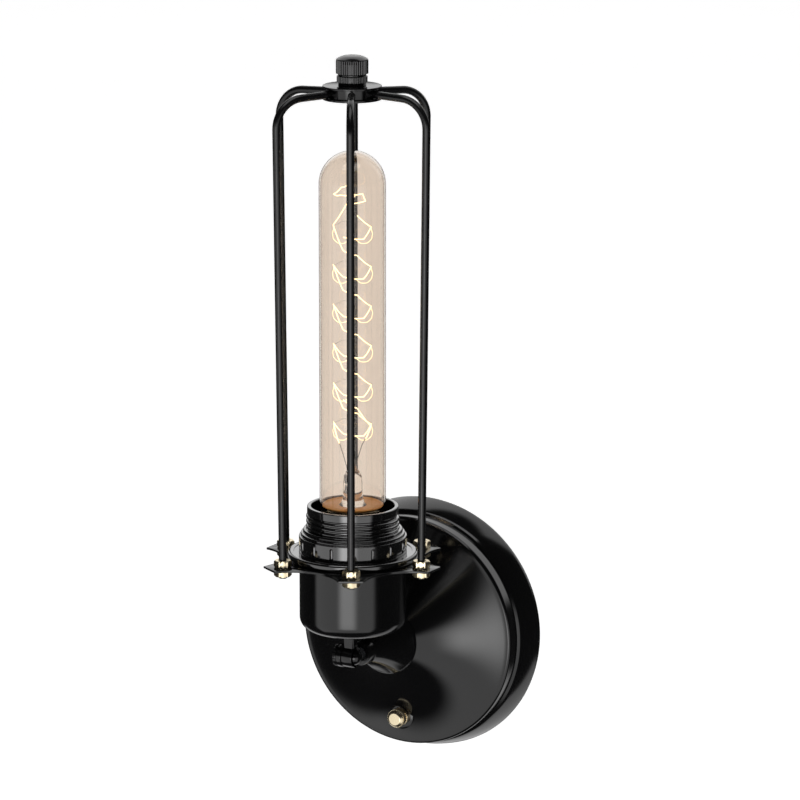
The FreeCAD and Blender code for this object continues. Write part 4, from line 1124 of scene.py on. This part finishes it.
def make_filament():
    """The glowing winding, part of a turn above it, its tail and the fine loops."""
    winding = list(WINDING_TOP)
    for high in turn_heights()[:WINDING_TURNS]:
        winding += [(across, away, high + z) for across, away, z in WINDING_TURN]
    winding += WINDING_FOOT
    crown_high = WINDING_HIGH_Z + WINDING_PITCH
    crown = [(across, away, crown_high + z) for across, away, z in WINDING_TURN[2:]]
    strands = [tube("winding", slack(winding, 0.5), WIRE_R * MM, 8),
               tube("crown", slack(crown, 0.4), WIRE_R * MM, 8),
               tube("tail", slack(WINDING_TAIL, 0.4), WIRE_R * MM, 8)]
    for z in turn_heights():
        for side in (-1.0, 1.0):
            loop = ((side * 8.2, 0.6, z - 1.0), (side * 9.0, 1.2, z - 4.0), (side * 8.6, 1.5, z - 6.6),
                    (side * 6.6, 1.8, z - 8.6), (side * 3.8, 2.0, z - 8.8), (side * 1.4, 2.0, z - 7.0))
            strands.append(tube("loop", slack(loop, 0.15, 3), LOOP_R * MM, 6))
    return dress(joined("zigzag_filament", strands), GLOW, "bulb", ["filament"])


def make_wires():
    """Lead wires from the glass stem and the fine hooks that hold each turn."""
    parts = [tube("lead", slack(lead, 0.0), LEAD_R * MM, 8) for lead in LEADS]
    for z in turn_heights():
        for side in (-1.0, 1.0):
            hook = ((0.0, 0.0, z + 2.0), (side * 4.5, 0.3, z + 1.6), (side * 8.6, 0.0, z - 0.3))
            parts.append(tube("hook", slack(hook, 0.2, 3), HOOK_R * MM, 6))
    return dress(joined("lead_and_hooks", parts), NICKEL, "bulb", ["lead_wires"])


def make_bulb_cap():
    """The screw cap keeps its solid; a thread ridge goes on it."""
    thread_foot = lamp_place(0.0, 0.0, 57.0)
    ridge = screw_ridge("bulb_cap_ridge", 4.0, 13.05, 0.12, 10.0, thread_foot, BRASS, 64)
    return dress(ridge, BRASS, "bulb")


# ================================================================ carried-over solids

CARRIED = {
    "crossbar": ZINC, "canopy_studs": ZINC, "arm_nipple": ZINC, "nipple_washer": ZINC, "nipple_nut": ZINC,
    "cup_nut": ZINC, "screw_shell": BRASS, "centre_contact": BRASS, "finial_stud": ZINC, "bulb_cap": BRASS,
    "bulb_insulator": DARK_GLASS, "bulb_contact": ZINC,
}


def dress_solids():
    """Finishes for the solids that show as they are."""
    for name, material in CARRIED.items():
        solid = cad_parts[name]
        solid.data.materials.clear()
        solid.data.materials.append(material)


# ================================================================ studio

def make_floor():
    """A wide white sheet; the finish reflects the studio round it, not the sheet."""
    reach = 60.0                    # metres, as the height
    height = -0.35
    work = bmesh.new()
    corners = [(-reach, -reach), (reach, -reach), (reach, reach), (-reach, reach)]
    work.faces.new([work.verts.new((x, y, height)) for x, y in corners])
    floor = finish_mesh("floor", work)
    material, nodes, links, shader = new_material("pale_floor")
    grain = place_effect(nodes, GRAIN, {"Coarse Scale": 3.0, "Fine Scale": 80.0, "Low": 0.75, "High": 0.85})
    links.new(grain.outputs["Roughness"], shader.inputs["Roughness"])
    shader.inputs["Base Color"].default_value = (0.8, 0.8, 0.8, 1.0)
    shader.inputs["Specular IOR Level"].default_value = 0.1
    shader.inputs["Emission Color"].default_value = (1.0, 1.0, 1.0, 1.0)
    shader.inputs["Emission Strength"].default_value = 0.8
    floor.data.materials.append(material)
    floor.visible_glossy = False


# Softboxes round the light: from and to azimuth, from and to elevation, edge, brightness.
# Azimuth is in degrees from -Y towards +X.
SOFTBOXES = (
    (-64.0, 82.0, -56.0, 8.0, 12.0, 0.95),
    (-8.0, 42.0, -30.0, 6.0, 17.0, 2.7),
    (-180.0, -115.0, 2.0, 62.0, 8.0, 1.0),
    (135.0, 180.0, 2.0, 62.0, 8.0, 1.0),
    (-180.0, -112.0, -74.0, -24.0, 8.0, 0.7),
    (130.0, 180.0, -74.0, -24.0, 8.0, 0.7),
)
STUDIO_DARK = 0.02


def soft_step(nodes, links, value, low, high):
    """0 below low, 1 above high, smooth between; the other way round if low is larger."""
    ramp = nodes.new("ShaderNodeMapRange")
    ramp.interpolation_type = "SMOOTHSTEP"
    ramp.inputs["From Min"].default_value = min(low, high)
    ramp.inputs["From Max"].default_value = max(low, high)
    ramp.inputs["To Min"].default_value = 0.0 if low < high else 1.0
    ramp.inputs["To Max"].default_value = 1.0 if low < high else 0.0
    links.new(value, ramp.inputs["Value"])
    return ramp.outputs["Result"]


def make_studio():
    """Dark studio with soft panels of light and a white ground behind the object."""
    world = bpy.data.worlds.new("studio")
    bpy.context.scene.world = world
    world.use_nodes = True
    nodes = world.node_tree.nodes
    links = world.node_tree.links
    backdrop = nodes["Background"]
    place = nodes.new("ShaderNodeTexCoord")
    parts = nodes.new("ShaderNodeSeparateXYZ")
    links.new(place.outputs["Generated"], parts.inputs["Vector"])
    turned = calculation(nodes, links, "MULTIPLY", parts.outputs["Y"], -1.0)
    bearing = calculation(nodes, links, "ARCTAN2", parts.outputs["X"], turned)
    azimuth = calculation(nodes, links, "DEGREES", bearing)
    rise = calculation(nodes, links, "ARCSINE", parts.outputs["Z"])
    elevation = calculation(nodes, links, "DEGREES", rise)
    total = STUDIO_DARK
    for left, right, low, high, edge, brightness in SOFTBOXES:
        sides = [(azimuth, left, left + edge), (azimuth, right, right - edge),
                 (elevation, low, low + edge), (elevation, high, high - edge)]
        bright = brightness
        for value, outer, inner in sides:
            if abs(outer) < 180.0:
                fade = soft_step(nodes, links, value, outer, inner)
                bright = calculation(nodes, links, "MULTIPLY", fade, bright)
        total = calculation(nodes, links, "ADD", bright, total)
    paths = nodes.new("ShaderNodeLightPath")
    through = calculation(nodes, links, "MAXIMUM", paths.outputs["Is Camera Ray"],
                          paths.outputs["Is Transmission Ray"])
    seen = nodes.new("ShaderNodeMix")
    links.new(through, seen.inputs["Factor"])
    links.new(total, seen.inputs["A"])
    seen.inputs["B"].default_value = 1.0
    backdrop.inputs["Color"].default_value = (1.0, 1.0, 1.0, 1.0)
    links.new(seen.outputs["Result"], backdrop.inputs["Strength"])
    bpy.context.scene.view_settings.view_transform = "Standard"


def make_top_light():
    """One soft lamp overhead."""
    light = bpy.data.lights.new("overhead", "AREA")
    light.shape = "RECTANGLE"
    light.size = 1.6
    light.size_y = 1.6
    light.energy = 14.0
    lamp = linked("overhead", light)
    lamp.location = (0.1, -0.5, 2.0)


def make_camera():
    """The photo's camera, from its target, distance and angles."""
    azimuth = math.radians(CAMERA_AZIMUTH)
    elevation = math.radians(CAMERA_ELEVATION)
    roll = math.radians(CAMERA_ROLL)
    back = Vector((math.sin(azimuth) * math.cos(elevation), -math.cos(azimuth) * math.cos(elevation),
                   math.sin(elevation)))
    place = (Vector(CAMERA_TARGET) + back * CAMERA_DISTANCE) * MM
    level = (-back).cross(Vector((0.0, 0.0, 1.0))).normalized()
    upright = level.cross(-back).normalized()
    right = level * math.cos(roll) + upright * math.sin(roll)
    up = upright * math.cos(roll) - level * math.sin(roll)
    data = bpy.data.cameras.new("photo_camera")
    data.sensor_width = SENSOR
    data.lens = FOCAL_PIXELS * SENSOR / IMAGE_SIZE
    data.clip_start = 0.05
    data.clip_end = 50.0
    camera = linked("photo_camera", data)
    turn = Matrix((right, up, back)).transposed().to_4x4()
    camera.matrix_world = Matrix.Translation(place) @ turn
    bpy.context.scene.camera = camera


make_canopy()
make_neck()
make_swivel_screw()
make_thumb_nut()
make_cap_nut("lower_brass_cap", "lower_cap_nut", "cap_nut_lower", -1.0)
make_cap_nut("upper_brass_cap", "upper_cap_nut", "cap_nut_upper", 1.0)
make_stem()
make_cup()
make_lampholder()
make_shade_ring()
make_star_plate()
make_rods()
make_rod_nuts("brass_nuts_upper", "rod_nuts_upper", PLATE_TOP_Z, (2, -5, 6, 3, -4, 5))
make_rod_nuts("brass_nuts_lower", "rod_nuts_lower", PLATE_LOW_Z - NUT_THICK, (8, 4, -7, 5, -3, 6))
make_spool()
make_finial()
make_bulb_glass()
make_bulb_foot()
make_stem_glass()
make_filament()
make_wires()
make_bulb_cap()
dress_solids()
make_floor()
make_studio()
make_top_light()
make_camera()
